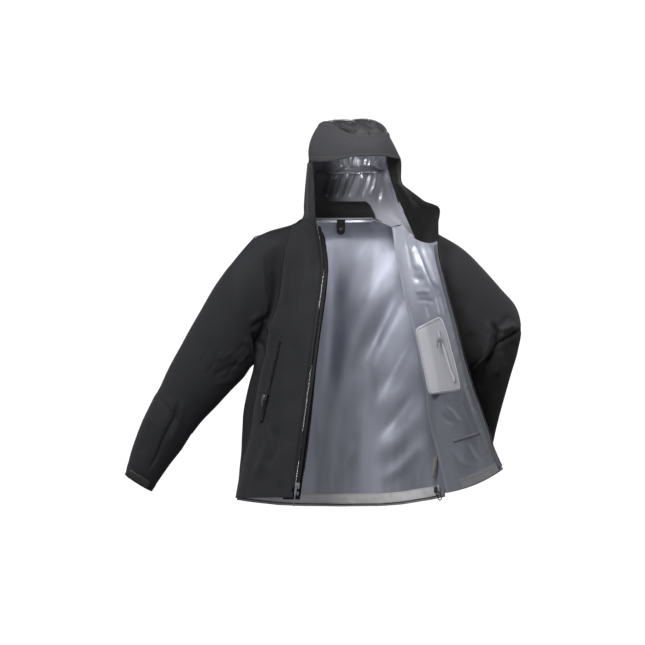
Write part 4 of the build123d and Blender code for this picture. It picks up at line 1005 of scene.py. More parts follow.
up = sleeve_mesh("sleeve_right_upper", tucked(RG[:kr + 5]), "shell", "lining")
darken_ends(up, RG[:kr + 5], 0, 22)
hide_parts("right_upper_sleeve")
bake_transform(up)
lo = RG[kr - 26:].copy()
sh_ = np.clip(1 - (np.arange(len(lo)) - 24) / 12.0, 0, 1)
lo = np.stack([shrink(lo[i:i + 1], 1.5 * sh_[i])[0] for i in range(len(lo))])
Lr = np.concatenate([[0], np.cumsum(np.linalg.norm(np.diff(lo.mean(axis=1), axis=0), axis=1))])
cut = int(np.searchsorted(Lr, Lr[-1] - 23))
dn = sleeve_mesh("sleeve_right_lower", lo[:cut + 1], "shell", "lining")
darken_ends(dn, lo[:cut + 1], 30, 0)
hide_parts("right_lower_sleeve")
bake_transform(dn)
RCUFF = lo[cut - 1:]

# the upper left sleeve takes the lit copy of the shell cloth (painted light)
upl = sleeve_mesh("sleeve_left_upper", tucked(LG[:kl + 5]), "shell_painted_lit", "lining")
darken_ends(upl, LG[:kl + 5], 0, 40)
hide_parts("left_upper_sleeve")
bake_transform(upl)
lo2 = LG[kl - 26:].copy()
lo2 = np.stack([shrink(lo2[i:i + 1], 1.5 * np.clip(1 - (i - 24) / 12.0, 0, 1))[0] for i in range(len(lo2))])
Ll = np.concatenate([[0], np.cumsum(np.linalg.norm(np.diff(lo2.mean(axis=1), axis=0), axis=1))])
cut2 = int(np.searchsorted(Ll, Ll[-1] - 23))
# the lower left sleeve takes the painted shade copy of the shell cloth
dl = sleeve_mesh("sleeve_left_lower", lo2[:cut2 + 1], "shade", "lining")
darken_ends(dl, lo2[:cut2 + 1], 60, 0)
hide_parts("left_lower_sleeve")
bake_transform(dl)
LCUFF = lo2[cut2 - 1:]


def cuff(side, G):
    """Rolled cuff end with a stitched edge."""
    G = G.copy()
    G = np.swapaxes(refine(np.swapaxes(np.concatenate([G, G[:, :1]], axis=1), 0, 1), 145, 12), 0, 1)[:, :-1]
    C = G.mean(axis=1, keepdims=True)
    v = G - C
    L = np.linalg.norm(v, axis=2, keepdims=True)
    t = np.linspace(0, 1, len(G))[:, None, None]
    puff = 0.9 + 1.3 * np.exp(-((t - 0.93) / 0.09) ** 2) - 0.8 * np.exp(-((t - 0.78) / 0.04) ** 2)
    G = C + v * (L + puff) / L
    th = 2 * math.pi * np.arange(G.shape[1]) / G.shape[1]
    G = G + v / L * (0.7 * np.sin(th * 23) * np.exp(-((t[..., 0] - 0.5) / 0.35) ** 2))[..., None]
    o = sleeve_mesh("cuff_" + side, G, "shell", "black", 2.2)
    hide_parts(side + "_cuff_band")
    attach(o, side + "_forearm")
    e = G[int(len(G) * 0.78)]
    N = v[int(len(G) * 0.78)] / L[int(len(G) * 0.78)]
    s = stitches("cuff_stitch_" + side, np.concatenate([e + N * 0.3, e[:1] + N[:1] * 0.3]), 0, np.concatenate([N, N[:1]]), "cord")
    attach(s, side + "_forearm")
    return G


cuff("right", RCUFF)
cuff("left", LCUFF)


def cuff_tab(side, C, u, ax, yoff, s):
    """Wrap strap at the cuff: rounded moulded end, loop field under it."""
    C, u, ax = A(C), unit(u), unit(ax)
    ny = A((0, -1.0 if yoff < 0 else 1.0, 0))
    P = []
    for q in np.linspace(-32, 32, 24):
        P.append(C + u * (q + 2) + A((0, yoff, 0)) - ny * 0.0022 * q * q)
    w = [21 * (1 - 0.22 * max(0, (abs(q) - 24) / 8.0) ** 2) for q in np.linspace(-32, 32, 24)]
    o = ribbon("cuff_strap_" + side, P, ax, ny, w, 1.7, "plastic", crown=0.25, k=11)
    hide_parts(side + "_cuff_tab")
    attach(o, side + "_tab")
    e = []
    for q in np.linspace(-27, 27, 40):
        e.append(C + u * (q + 2) + A((0, yoff, 0)) + ny * (1.0 - 0.0022 * q * q) + ax * 7.5)
    s1 = stitches("cuff_strap_stitch_" + side, e, 0, ny, "cord")
    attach(s1, side + "_tab")
    P = [C + u * (q - 4) + A((0, yoff * 0.91, 0)) - ny * 0.0022 * q * q for q in np.linspace(-22, 22, 16)]
    o = ribbon("cuff_loop_field_" + side, P, ax, ny, 20, 1.3, "loopf", k=9)
    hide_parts(side + "_cuff_loop_patch")
    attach(o, side + "_forearm")


cuff_dir = unit(A(RL[3][0]) + A(RL[3][1]) - A(RL[4][0]) - A(RL[4][1]))
RCC = (A(RL[4][0]) + A(RL[4][1])) / 2 + cuff_dir * 12
ru = unit(A(RL[4][0]) - A(RL[4][1]))
cuff_tab("right", RCC, ru, cuff_dir, -44.0, -1)
ldir = unit(A(LL[5][0]) + A(LL[5][1]) - A(LL[6][0]) - A(LL[6][1]))
LCC = (A(LL[6][0]) + A(LL[6][1])) / 2 + ldir * 12
lu = unit(A(LL[6][0]) - A(LL[6][1]))
cuff_tab("left", LCC, lu, ldir, 44.0, 1)


# ------------------------------------------------------------------ hood
NC = 97
CL = A([(4, 28), (14, 34), (30, 52), (56, 80), (80, 120), (92, 160), (88, 200), (66, 235), (36, 258), (8, 269), (-25, 275), (-60, 276), (-98, 271), (-124, 260), (-142, 247), (-153, 233)])
ER = A([(-93, -72, 25), (-93, -73, 38), (-92, -74, 58), (-90.5, -76, 84), (-88, -79, 112), (-86, -82, 138), (-83.5, -86, 158), (-81, -92, 176), (-78.5, -96, 190), (-76, -99, 201), (-73, -102, 211), (-70, -104, 220), (-66, -106, 228), (-62, -107, 236), (-58, -109, 243), (-54, -112, 250)])
EL = A([at_view(*p) for p in ((415.3, 239, -84), (411, 229, -88), (405, 216, -94), (400, 204.5, -99), (395.7, 191, -105), (391.6, 179, -110), (388.8, 168, -114), (387, 161, -118))] + [(118, -120, 182), (118.5, -121, 190), (119, -122, 197), (120, -123, 203), (121, -124, 209), (122, -126, 215), (122.5, -128, 220), (123, -130, 225)])
NECK = [(-93, -72, 22), (-90, -56, 22), (-85, -40, 22), (-72, -19, 22), (-45, -3, 22), (3, 5.5, 22), (48, -3, 22), (74, -18, 21), (91, -34, 17), (111, -44, 10), (134, -60, -2), (152, -71, -15), (170, -80, -27), (187, -84.5, -30)]
LAST = [(318, 126, -112), (322, 123, -118), (327, 121, -125), (333, 124, -135), (340, 130, -146), (350, 134, -153), (358, 136, -156), (370, 136.2, -154), (380, 136, -150), (388, 135, -138), (390, 137, -130)]


def hood_row(i):
    th = np.linspace(0, math.pi / 2, NC // 2 + 1)
    cx = float(np.interp(CL[i][1], [30, 120, 200, 276], [4, 16, 26, 24])) if i < 11 else 26.0
    C = A((cx, CL[i][0], CL[i][1]))
    out = []
    for E, s in ((ER[i], -1), (EL[i], 1)):
        b = np.interp(i, [0, 4, 7, 12, 15], [2, 3, 4, 5, 2]) if s < 0 else np.interp(i, [0, 4, 7, 12, 15], [2, 6, 8, 6, 1])
        X = E[0] + (C[0] - E[0]) * (1 - np.cos(th)) + s * b * np.sin(2 * th)
        Y = E[1] + (C[1] - E[1]) * np.sin(th)
        Z = E[2] + (C[2] - E[2]) * np.sin(th)
        if i > 6:                        # crown rises quickly at the temple, then lies flat
            q = np.interp(i, [6, 12], [0, 1])
            Z = Z + (C[2] - E[2]) * q * 0.16 * np.sin(2 * th)
        out.append(np.stack([X, Y, Z], 1))
    return np.concatenate([out[0], out[1][::-1][1:]])


hr = [hood_row(i) for i in range(16)]
row0 = curve(NECK, NC)
hr[0] = row0
hr[1] = hr[1] * 0.45 + (row0 + A((0, 3, 14))) * 0.55
hr[2] = hr[2] * 0.8 + (row0 + A((0, 12, 34))) * 0.2
last = curve([at_view(*p) for p in LAST], NC)
hr[15] = last + A((0, 3.0, -1.0))
hr[14] = hr[14] * 0.35 + (last + A((0, 10, 12))) * 0.65
hr[13] = hr[13] * 0.75 + (last + A((0, 24, 24))) * 0.25
H = A(hr)
s_ = np.arange(16.0)
H = herm(H, s_, np.linspace(0, 15, 210))
Hs = np.swapaxes(H, 0, 1)
H = np.swapaxes(herm(Hs, np.linspace(0, 1, NC), np.linspace(0, 1, 221)), 0, 1)
HN = normals(H)
cen = A((10, -30, 150))
if (HN * (H - cen)).sum() < 0:
    HN = -HN
HX, HY = view(H)
inside = sm(H[..., 1], -20, 40)                      # the rear of the hood, seen from within
h = waves(H, 31, 120, 1.0) * sm(H[..., 2], 30, 70)
for pts, w, a in (
    (((332, 172), (345, 169), (358, 168), (372, 169), (388, 173)), 1.6, -7.5),
    (((333, 158), (335, 167)), 1.3, 6.0), (((338, 157), (340, 167)), 1.0, -5.0), (((343, 157), (344, 167)), 1.1, 6.0),
    (((348, 157), (349, 167)), 1.0, -5.5), (((354, 157), (353, 167)), 1.1, 6.5), (((360, 157), (359, 167)), 1.0, -5.5),
    (((366, 157), (364, 167)), 1.1, 7.0), (((371, 157), (369, 167)), 1.0, -6.0), (((377, 158), (375, 167)), 1.2, 7.0),
    (((382, 158), (380, 168)), 1.1, -5.0),
    (((343, 174), (340, 185), (336, 199)), 1.3, 7.5), (((348, 173), (345, 186), (341, 199)), 1.3, -6.5),
    (((353, 173), (349, 185), (344, 198)), 1.1, 4.5), (((359, 172), (354, 184), (348, 199)), 1.4, 8.5),
    (((364, 172), (360, 186), (355, 199)), 1.4, -7.0), (((371, 171), (367, 184), (361, 199)), 1.4, 8.0),
    (((377, 172), (374, 186), (368, 200)), 1.7, -6.5), (((384, 174), (382, 188), (378, 205)), 2.0, 6.5),
    (((389, 182), (391, 196), (394, 212)), 2.2, -4.5), (((331, 173), (328, 185), (325, 199)), 1.8, 5.0),
    (((337, 174), (333, 187), (330, 199)), 1.5, -5.5), (((388, 205), (397, 218), (404, 231)), 2.4, 4.0),
    (((380, 204), (389, 216), (396, 224)), 2.2, -3.2), (((395, 200), (402, 214), (409, 228)), 1.8, -3.0),
):
    h -= ridge(HX, HY, pts, w, a) * inside
cr = sm(H[..., 2], 215, 240) * (1 - inside) * sm(HY, 118.6, 122.5) * 1.15
for pts, w, a in (
    (((336, 119.6), (344, 120.6), (352, 122.6), (360, 126), (366, 130), (371, 134)), 0.9, 3.6),
    (((336, 123), (344, 125), (352, 128.5), (360, 133)), 1.5, -3.2),
    (((344, 118.5), (354, 119.5), (364, 122.5), (372, 127.5), (376, 132)), 1.3, -2.6),
    (((375, 121), (380, 126), (385, 133)), 1.6, -2.4),
    (((360, 118.5), (369, 121), (377, 126.5)), 1.2, 2.2),
    (((327, 120.5), (334, 123.5), (342, 128), (350, 132), (358, 134)), 0.8, 3.2),
    (((320, 128), (325, 124), (331, 122)), 1.6, 2.0),
    (((314, 140), (318, 132), (323, 127)), 1.8, -2.0),
    (((382, 128), (387, 135), (390, 144)), 1.3, 2.0),
):
    h += ridge(HX, HY, pts, w, a, taper=0.35) * cr
xs = np.abs(H[..., 0] - np.interp(H[..., 2], [30, 120, 200, 276], [8, 18, 26, 24]))
h -= 0.9 * np.exp(-((xs - 46) / 1.6) ** 2) * sm(H[..., 2], 70, 90)         # panel seams
e_ = np.minimum(np.arange(221), np.arange(221)[::-1])[None, :]
h *= np.clip(e_ / 5.0, 0, 1) * sm(np.arange(210)[:, None], 0, 6) * sm(-np.arange(210)[:, None], -209, -203)
H = H + HN * h[..., None]
sgn = 1 if ((normals(H) * HN).sum() < 0) else -1


def rows_of(z):
    return int(np.argmin(np.abs(H[:, 110, 2] - z) + (np.arange(210) > 120) * 1e3))


rb = rows_of(84)
EDGE = 34
o = fabric("hood_base", H[:rb + 1], "hshell", "hood_lining_painted_light_shade", flip=sgn)
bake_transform(o)
crown = H[rb:]
o = fabric("hood_crown", crown[:, EDGE:-EDGE], "hshell", "hood_lining_painted_light_shade", flip=sgn)
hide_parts("hood_centre_panel")
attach(o, "hood")
o = fabric("hood_side_right", crown[:, :EDGE + 2], "hshell", "hood_lining_painted_light_shade", flip=sgn)
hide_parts("hood_right_panel")
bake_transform(o)
o = fabric("hood_side_left", crown[:, -EDGE - 2:], "hshell", "hood_lining_painted_light_shade", flip=sgn)
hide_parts("hood_left_panel")
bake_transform(o)
for s, col_, nm in ((-1, 0, "right"), (1, -1, "left")):
    P = H[rb:150, col_] + (HN[rb:150, col_] * -1.0)
    o = round_cord("hood_edge_binding_" + nm, P[::2], 1.7, "black", 10, 0.06)
    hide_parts("hood_%s_edge_binding" % nm)
    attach(o, "hood_%s_edge" % nm)

# brim: laminated visor
UPB = curve([at_view(*p) for p in LAST], 120)
LOB = curve([at_view(*p) for p in ((309, 161, -112), (313, 161.6, -124), (320, 161.6, -140), (330, 161, -155), (340, 159.5, -165), (350, 157.5, -171), (360, 156, -174), (372, 155.8, -172), (385, 156, -163), (392, 157.8, -150), (401, 159, -135))], 120)
t = np.linspace(0, 1, 26)[:, None, None]
_e = 0.10 * np.clip((np.linspace(0, 1, 120)[None, :, None] - 0.72) / 0.14, 0, 1)
BR = UPB[None] * (1 - (t * (1 + _e) - _e)) + LOB[None] * (t * (1 + _e) - _e)
c_ = np.linspace(0, 1, 120)[None, :, None]
BR = BR + A((-1, 0, 0)) * 10.0 * 4 * t * (1 - t) * np.exp(-(c_ / 0.14) ** 2) + A((0, -1, 0.12)) * 5.0 * 4 * t * (1 - t)
BR = BR + A((0, -1, 0)) * (1.6 * np.exp(-((t - 0.96) / 0.03) ** 2) + 0.9 * np.exp(-((t - 0.05) / 0.03) ** 2)) - A((0, -1, 0)) * 0.8 * np.exp(-((t - 0.86) / 0.02) ** 2)
fl = 1 if normals(BR)[12, 60, 1] > 0 else -1
o = fabric("brim", BR, "brim", "brim", flip=fl, thick=2.4, rim="brim")
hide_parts("hood_brim")
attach(o, "brim")
bn = normals(BR)
if bn[12, 60, 1] > 0:
    bn = -bn
for k, r in enumerate((22, 2)):
    s = stitches("brim_stitch_%d" % k, BR[r, 3:-3] + bn[r, 3:-3] * 0.2, 0, bn[r, 3:-3], "greycord")
    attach(s, "brim")

# collar pieces
wing = []
for f, zt in ((0, None), (0.12, 30), (0.35, 58), (0.6, 95), (0.8, 130), (1.0, 163)):
    row = []
    for k, t in enumerate((0.34, 0.5, 0.66, 0.83, 1.0)):
        if f == 0:
            z0 = float(np.interp(t, [0, 0.3, 0.5, 0.62, 1.0], [3.0, 14.0, 24.0, 21.0, 1.5])) - 4.0
            row.append(right_pt(t, z0) + A((1.2, 1.6, 0)))
        else:
            q = k / 4.0
            x0, x1 = np.interp(zt, [20, 80, 125, 165], [-97, -94, -90, -86]), np.interp(zt, [10, 76, 122, 165], [-66, -68, -71, -74])
            y0, y1 = np.interp(zt, [20, 80, 125, 165], [-76, -76, -80, -86]), np.interp(zt, [10, 76, 122, 165], [-149, -152, -153, -150])
            row.append(A((x0 + (x1 - x0) * q - 3 * math.sin(math.pi * q), y0 + (y1 - y0) * q, zt - (0 if f < 1 else 1.5 * q))))
    wing.append(row)
WG = refine(wing, 110, 60)
WX, WY = view(WG)
wn = normals(WG)
if wn[60, 30, 0] > 0:
    wn = -wn
hh = ridge(WX, WY, ((309, 164), (308.5, 190), (309, 222)), 1.4, 1.6) + ridge(WX, WY, ((306, 168), (305.5, 200), (305, 224)), 1.1, -1.2) + waves(WG, 41, 60, 0.5)
hh = hh * np.clip(np.minimum(np.arange(60), np.arange(60)[::-1]) / 4.0, 0, 1)[None]
WG = WG + wn * hh[..., None]
fl = 1 if normals(WG)[60, 30, 0] > 0 else -1
o = fabric("collar_right", WG, "shell", "black", flip=fl, thick=2.0)
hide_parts("right_chin_guard")
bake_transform(o)

lw_in = [(415.5, 238.4, -86), (408.5, 223, -92), (402.5, 209, -97), (400.3, 204.5, -99), (398.2, 199, -101), (396, 193, -103), (393.4, 186, -106), (391, 178, -109), (388.4, 167, -114), (387, 161, -117), (386.3, 152, -119)]
lw_out = [(438.0, 241.4, -160), (437.9, 224, -160), (437.8, 207.0, -158), (432.5, 204.6, -156), (425, 202, -153), (418, 197, -150), (410, 191, -147), (402, 184, -143), (400.8, 170, -140), (400.6, 160.5, -137), (395, 152.5, -124)]
lw = []
for a, b in zip(lw_in, lw_out):
    P, Q = at_view(*a), at_view(*b)
    lw.append([P + (Q - P) * q + A((0, 1, 0)) * 7 * math.sin(math.pi * q) for q in np.linspace(0, 1, 6)])
LW = refine(lw, 120, 70)
LWX, LWY = view(LW)
ln = normals(LW)
if ln[50, 30, 1] > 0:
    ln = -ln
hh = waves(LW, 43, 50, 0.6)
for pts, w, a in (
    (((392, 166), (396, 184), (406, 206), (420, 232)), 1.6, 1.8),
    (((400, 186), (412, 206), (426, 226)), 2.2, -1.8),
    (((408, 192), (420, 206), (433, 216)), 2.0, 1.5),
    (((394, 160), (397, 172), (399, 182)), 1.5, -1.2),
):
    hh += ridge(LWX, LWY, pts, w, a)
hh *= np.clip(np.minimum(np.arange(70), np.arange(70)[::-1]) / 4.0, 0, 1)[None]
LW = LW + ln * hh[..., None]
LW = LW + A((-0.28, -0.12, 1.0)) * (16.0 * (np.clip((np.arange(120) - 102) / 17.0, 0, 1)[:, None] ** 1.4))[..., None]
fl = 1 if normals(LW)[50, 30, 1] > 0 else -1
o = fabric("collar_left", LW, "black", "shell", flip=fl, thick=2.0, rim="black")
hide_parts("left_chin_guard")
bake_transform(o)


# joins that close the cloth where two panels meet
def by_z(line, zs):
    o_ = np.argsort(line[:, 2])
    return np.stack([np.interp(zs, line[o_, 2], line[o_, 0]), np.interp(zs, line[o_, 2], line[o_, 1]), zs], 1)


def join_strip(name, la, lb, zs, shift, k, outer, inner, side, body):
    pa, pb = by_z(la, zs), by_z(lb, zs)
    qq = np.linspace(0, 1, k)[None, :, None]
    G_ = pa[:, None] * (1 - qq) + pb[:, None] * qq + A(shift)
    c_ = normals(G_)[len(zs) // 2, k // 2] @ A(side)
    s_ = fabric(name, G_, outer, inner, flip=1 if c_ < 0 else -1, thick=0.6)
    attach(s_, body)
    return s_


join_strip("seam_tape_side_right", BACK[40:, 3], RF[:, 3], np.linspace(-350, -682, 80), (0.9, 0, 0), 7, "lining", "lining", (1, 0, 0), "torso")
join_strip("seam_tape_side_left", BACK[40:, -4], LF[:, 3], np.linspace(-350, -666, 80), (-0.9, 0, 0), 7, "lining", "lining", (-1, 0, 0), "torso")
_ar = arm_ring(1)[24:]
join_strip("armhole_join_left", LF[:, 1], _ar, np.linspace(-14, -330, 80), (0, 1.0, 0), 9, "shell", "lining", (0, -1, 0), "torso")
_hz = np.linspace(6, 82, 30)
_ha = by_z(H[:70, 0], np.maximum(_hz, 24)) + A((1.0, 4.0, 0))
_hb = by_z(WG[:, 0], np.maximum(_hz, 27)) + A((0.6, -5.0, 0))
_ha[:, 2] = _hz
_hb[:, 2] = _hz
join_strip("collar_join_right", _ha, _hb, _hz, (0.6, 0, 0), 6, "hshell", "hood_lining_painted_light_shade", (-1, 0, 0), "hood_right_edge")

# neck facing, piping, loop, cord and lock inside the hood
def hood_inner(x, z, off):
    r = rows_of(z)
    j = 42 + int(np.argmin(np.abs(H[r, 42:-42, 0] - x)))
    q = H[r, j]
    return A((x, q[1], z)) + A((0, -1, 0)) * off


nf = []
for z, w0, w1 in ((29.5, -74, 88), (40, -72, 85), (52, -68, 80), (64, -63, 74), (73, -55, 64)):
    nf.append([hood_inner(w0 + (w1 - w0) * q, z, 3.6 + 1.2 * math.sin(math.pi * q)) for q in np.linspace(0, 1, 15)])
nf = A(nf)
for _ in range(3):
    nf[:, 1:-1, 1] = (nf[:, :-2, 1] + nf[:, 2:, 1] + nf[:, 1:-1, 1]) / 3 - 0.5
NF = refine(nf, 40, 80)
NF = NF + A((0, -1, 0)) * (waves(NF, 51, 40, 0.4) * 0.6)[..., None]
fl = 1 if normals(NF)[20, 40, 1] > 0 else -1
o = fabric("neck_facing_soft", NF, "black", "black", flip=fl, thick=1.2)
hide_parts("neck_facing")
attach(o, "hood")
s = stitches("neck_facing_stitch", NF[36, 2:-2] + A((0, -0.4, 0)), 0, (0, -1, 0), "cord")
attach(s, "hood")
PIPE = curve([(-84 * math.cos(p), -34 + 37 * math.sin(p) ** 0.92 - 4.0, 26.0) for p in np.linspace(0.20, math.pi - 0.30, 31)], 120)
o = round_cord("piping_neck", PIPE, 2.6, "pipe", 12, 0.0)
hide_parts("neck_piping")
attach(o, "torso")
TP = PIPE + A((0, 1.6, -5.0))
s = ribbon("neck_seam_tape", TP, A((0, 0.15, 1.0)), [unit((0 - p[0] * 0.6, -30 - p[1], 0)) for p in TP], 9.0, 0.5, "tape")
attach(s, "torso")

# hang loop: webbing tab with a real eye
nl = 64
hw_, ht, hb = 10.5, 29.0, -15.0
outl, inn = [], []
for k in range(nl):
    a = 2 * math.pi * k / nl + math.pi / nl
    cx_, sz_ = math.cos(a), math.sin(a)
    r = 4.15
    inn.append((r * cx_, r * sz_))
    # rounded bottom, square top
    if sz_ >= 0:
        q = min(hw_ / max(abs(cx_), 1e-6), ht / max(abs(sz_), 1e-6))
        outl.append((q * cx_, q * sz_))
    else:
        e = (abs(cx_ / hw_) ** 2.6 + abs(sz_ / -hb) ** 2.6) ** (-1 / 2.6)
        outl.append((e * cx_, e * sz_))
V, F = [], []
lv = ((0.0, 0.45), (0.08, 0.9), (0.3, 1.0), (0.75, 1.0), (0.93, 0.9), (1.0, 0.45))
for sgn_ in (-1, 1):
    for q, th_ in lv:
        for i in range(nl):
            x = inn[i][0] + (outl[i][0] - inn[i][0]) * q
            z = inn[i][1] + (outl[i][1] - inn[i][1]) * q
            V.append((x, sgn_ * 1.15 * th_, z))
K = len(lv) * nl
for s_i in (0, 1):
    for j in range(len(lv) - 1):
        for i in range(nl):
            n_i = (i + 1) % nl
            f = (s_i * K + j * nl + i, s_i * K + j * nl + n_i, s_i * K + (j + 1) * nl + n_i, s_i * K + (j + 1) * nl + i)
            F.append(f if s_i == 1 else f[::-1])
for j in (0, len(lv) - 1):
    for i in range(nl):
        n_i = (i + 1) % nl
        f = (j * nl + i, j * nl + n_i, K + j * nl + n_i, K + j * nl + i)
        F.append(f if j == 0 else f[::-1])
uvl = [(v[0], v[2]) for v in V]
o = add_mesh("loop_hang", V, F, ["webbing"], uvl)
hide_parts("hang_loop")
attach(o, "torso")
s = stitches("loop_stitch", [(x, -1.2, 17.0) for x in np.linspace(-8, 8, 12)], 0, (0, -1, 0), "cord", 2.2, 1.6)
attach(s, "torso")

cx_ = np.linspace(-62, 96, 260)
CH = A([hood_inner(x, 150 + 1.2 * math.sin(x / 9.0), 5.2) for x in cx_])
for _ in range(6):
    CH[1:-1, 1] = (CH[:-2, 1] + CH[2:, 1] + CH[1:-1, 1]) / 3
CHN = A([unit((18 - p[0], -10 - p[1], 0)) for p in CH])
CC = curve([(18 - 92 * math.cos(a), -10 + 78 * math.sin(a), 150 + 2 * math.sin(a)) for a in np.linspace(0.12, math.pi - 0.12, 25)], 160)
for i in range(160):
    if -60 < CC[i, 0] < 94:
        k = int(np.argmin(np.abs(CH[:, 0] - CC[i, 0])))
        CC[i] = CH[k] - CHN[k] * 1.6
for _ in range(8):
    CC[1:-1] = (CC[:-2] + CC[2:] + CC[1:-1]) / 3
o = round_cord("hood_cinch", CC, 1.2, "cord", 8, 0.08)
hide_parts("hood_cinch_cord")
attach(o, "hood")
CH = CH + CHN * (0.8 + 0.9 * np.sin(cx_ * 0.95) + 0.5 * np.sin(cx_ * 0.37 + 1))[:, None]
o = ribbon("hood_cinch_channel", CH, A((0, 0, 1)), CHN, 6.0 + 1.4 * np.sin(cx_ * 0.8), 1.8, "hood_lining_painted_light_shade", crown=1.2, k=9)
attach(o, "hood")
bevelled("cinch_lock_body", "plastic")
bevelled("cinch_lock_button", "plastic")


# ------------------------------------------------------------------ hems and bands
def hem_band_back():
    rows = []
    for f in (0.0, 0.25, 0.5, 0.75, 1.0):
        row = []
        for p in np.linspace(0.16, math.pi - 0.16, 60):
            i = p / math.pi * (BACK.shape[1] - 1)
            j = int(i)
            u = i - j
            colm = BACK[:, j] * (1 - u) + BACK[:, min(j + 1, BACK.shape[1] - 1)] * u
            zb = colm[-1, 2]
            z = zb + 2.0 + f * 31.0
            q = A([np.interp(-z, -colm[:, 2], colm[:, k]) for k in range(3)])
            d = unit((-q[0] * 0.5, -60 - q[1], 0))
            row.append(q + d * (2.6 if f < 0.01 or f > 0.99 else 3.4))
        rows.append(row)
    G = refine(rows, 24, 260)
    G = G + A((0, -1, 0)) * (waves(G, 61, 26, 0.45) * np.sin(np.linspace(0, math.pi, 24))[:, None])[..., None]
    return G


HB = hem_band_back()
fl = 1 if normals(HB)[12, 130, 1] > 0 else -1
o = fabric("hem_tape_back", HB, "hem", "hem", flip=fl, thick=0.8)
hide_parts("back_hem_band")
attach(o, "torso")
s = stitches("hem_stitch_back", HB[21, 3:-3] + A((0, -0.3, 0)), 0, (0, -1, 0), "greycord")
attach(s, "torso")
hc = []
for p in np.linspace(0.16, math.pi - 0.16, 60):
    i = p / math.pi * (BACK.shape[1] - 1)
    q = BACK[-1, int(i)]
    d = unit((-q[0] * 0.5, -60 - q[1], 0))
    hc.append(q + d * 5.2 + A((0, 0, 6)))
o = round_cord("hem_shock_cord", curve(hc, 180), 1.2, "cord", 8, 0.08)
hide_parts("hem_cord")
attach(o, "torso")
o = round_cord("hem_cord_end", curve([(240, -36, -664), (242, -38, -676), (247, -41, -687), (252, -42, -694), (256, -40, -690), (254, -37, -680), (248, -36, -672)], 60), 1.3, "cord", 8, 0.1)
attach(o, "torso")
bevelled("hem_lock_bodies", "plastic")
bevelled("right_hem_lock_button", "plastic")
bevelled("left_hem_lock_button", "plastic")

rows = []
for f in (0, 0.3, 0.7, 1.0):
    row = []
    for t in np.linspace(0.06, 0.93, 12):
        z = hem_at(right_pt(t, -680)[1]) + 2.0 + 24 * f
        q = right_pt(t, z)
        a, b = right_pt(min(t + .04, 1), z), right_pt(max(t - .04, 0), z)
        n = unit(np.cross(b - a, (0, 0, 1)))
        if n[1] > 0:
            n = -n
        row.append(q - n * 4.0)
    rows.append(row)
RHB = refine(rows, 14, 90)
o = fabric("hem_tape_right", RHB, "hem", "hem", flip=1, thick=0.8)
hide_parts("right_hem_band")
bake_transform(o)
LHB = (LF + LN * 1.9)[-11:-1, 69:187]
fl = 1 if normals(LHB)[5, 60, 1] > 0 else -1
o = fabric("hem_tape_left", LHB, "hem_l", "hem_l", flip=fl, thick=0.8)
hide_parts("left_hem_band")
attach(o, "left_front")
s = stitches("hem_stitch_left", LHB[3, 3:-3] + A((0, -0.3, 0)), 0, (0, -1, 0), "greycord")
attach(s, "left_front")

# care label
LB = []
for k in range(9):
    q = k / 8.0
    p = at_view(435.2 + (432.2 - 435.2) * q, 456 + 21 * q, 0)
    LB.append(A((p[0], -30 - 3 * math.sin(q * 3), p[2])))
o = ribbon("label_care", curve(LB, 40), A((0.98, 0.15, 0.12)), A((0.15, -0.98, 0)), 10.5, 0.5, "label", crown=1.2, k=9)
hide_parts("care_label")
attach(o, "torso")

# ------------------------------------------------------------------ right zip, storm flap
def edge_r(z):
    return A((float(col(EDGE_R, z, 0)), float(col(EDGE_R, z, 1)), z))


ZPTS = [right_pt(1.0, z) for z in np.linspace(1.5, -655, 60)]
ZN, ZU = [], []
for z in np.linspace(1.5, -655, 60):
    a, b = right_pt(0.94, z), right_pt(1.0, z)
    u = unit(b - a)
    n = unit(np.cross(u, (0, 0, 1)))
    if n[1] > 0:
        n = -n
    ZU.append(u)
    ZN.append(n)
ZPTS, ZU, ZN = A(ZPTS), A(ZU), A(ZN)
CP = ZPTS + ZU * 2.6 - ZN * 1.4
# the right coil takes the bright metal copy of the coil as its painted glint
o = coil("zip_coil_right", CP + ZN * 0.8, ZU, ZN, 4.0, 2.4, 1.7, "silver")
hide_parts("right_zip_teeth")
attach(o, "right_front")
o = ribbon("zip_tape_right", CP + ZU * 4.5 - ZN * 1.6, ZU, ZN, 12.0, 0.8, "ztape")
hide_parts("right_zip_tape")
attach(o, "right_front")
zs = ZPTS[:, 2]
hid = np.ones(len(zs))
for z0, z1 in ((-121, -200), (-356, -500), (-586, -640)):        # stretches where the welt gapes and the coil shows
    hid *= 1 - sm(-zs, -z0 - 8, -z0 + 10) * (1 - sm(-zs, -z1 - 10, -z1 + 8))
o = ribbon("zip_welt_right", ZPTS - ZU * (2.4 - 2.6 * hid)[:, None] + ZN * (0.9 + 1.2 * hid)[:, None], ZU, ZN, 5.2 + 4.6 * hid, 1.0, "ztape", crown=0.5)
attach(o, "right_front")
sf = []
for z in (1, -20, -45, -70, -100, -140, -200, -270, -340, -420, -500, -580, -640, -676):
    e = edge_r(z)
    r = right_pt(0.88, z)
    u = unit(right_pt(1.0, z) - right_pt(0.94, z))
    n = unit(np.cross(u, (0, 0, 1)))
    if n[1] > 0:
        n = -n
    sf.append([r - n * 5.0, (r + e) / 2 - n * 5.5, e * 0.6 + r * 0.4 - n * 5.0 + A((0, 2, 0)), e * 0.85 + r * 0.15 - n * 5.0, e - n * 4.4])
SF = refine(sf, 170, 36)
SN = normals(SF)
if SN[80, 18, 1] > 0:
    SN = -SN
SF = SF + SN * (waves(SF, 71, 45, 0.7) + 1.0 * np.exp(-((np.linspace(0, 1, 36) - 0.97) / 0.03) ** 2)[None, :])[..., None]
fl = 1 if normals(SF)[80, 18, 1] > 0 else -1
o = fabric("storm_flap_right", SF, "shell", "lining", flip=fl, thick=1.2)
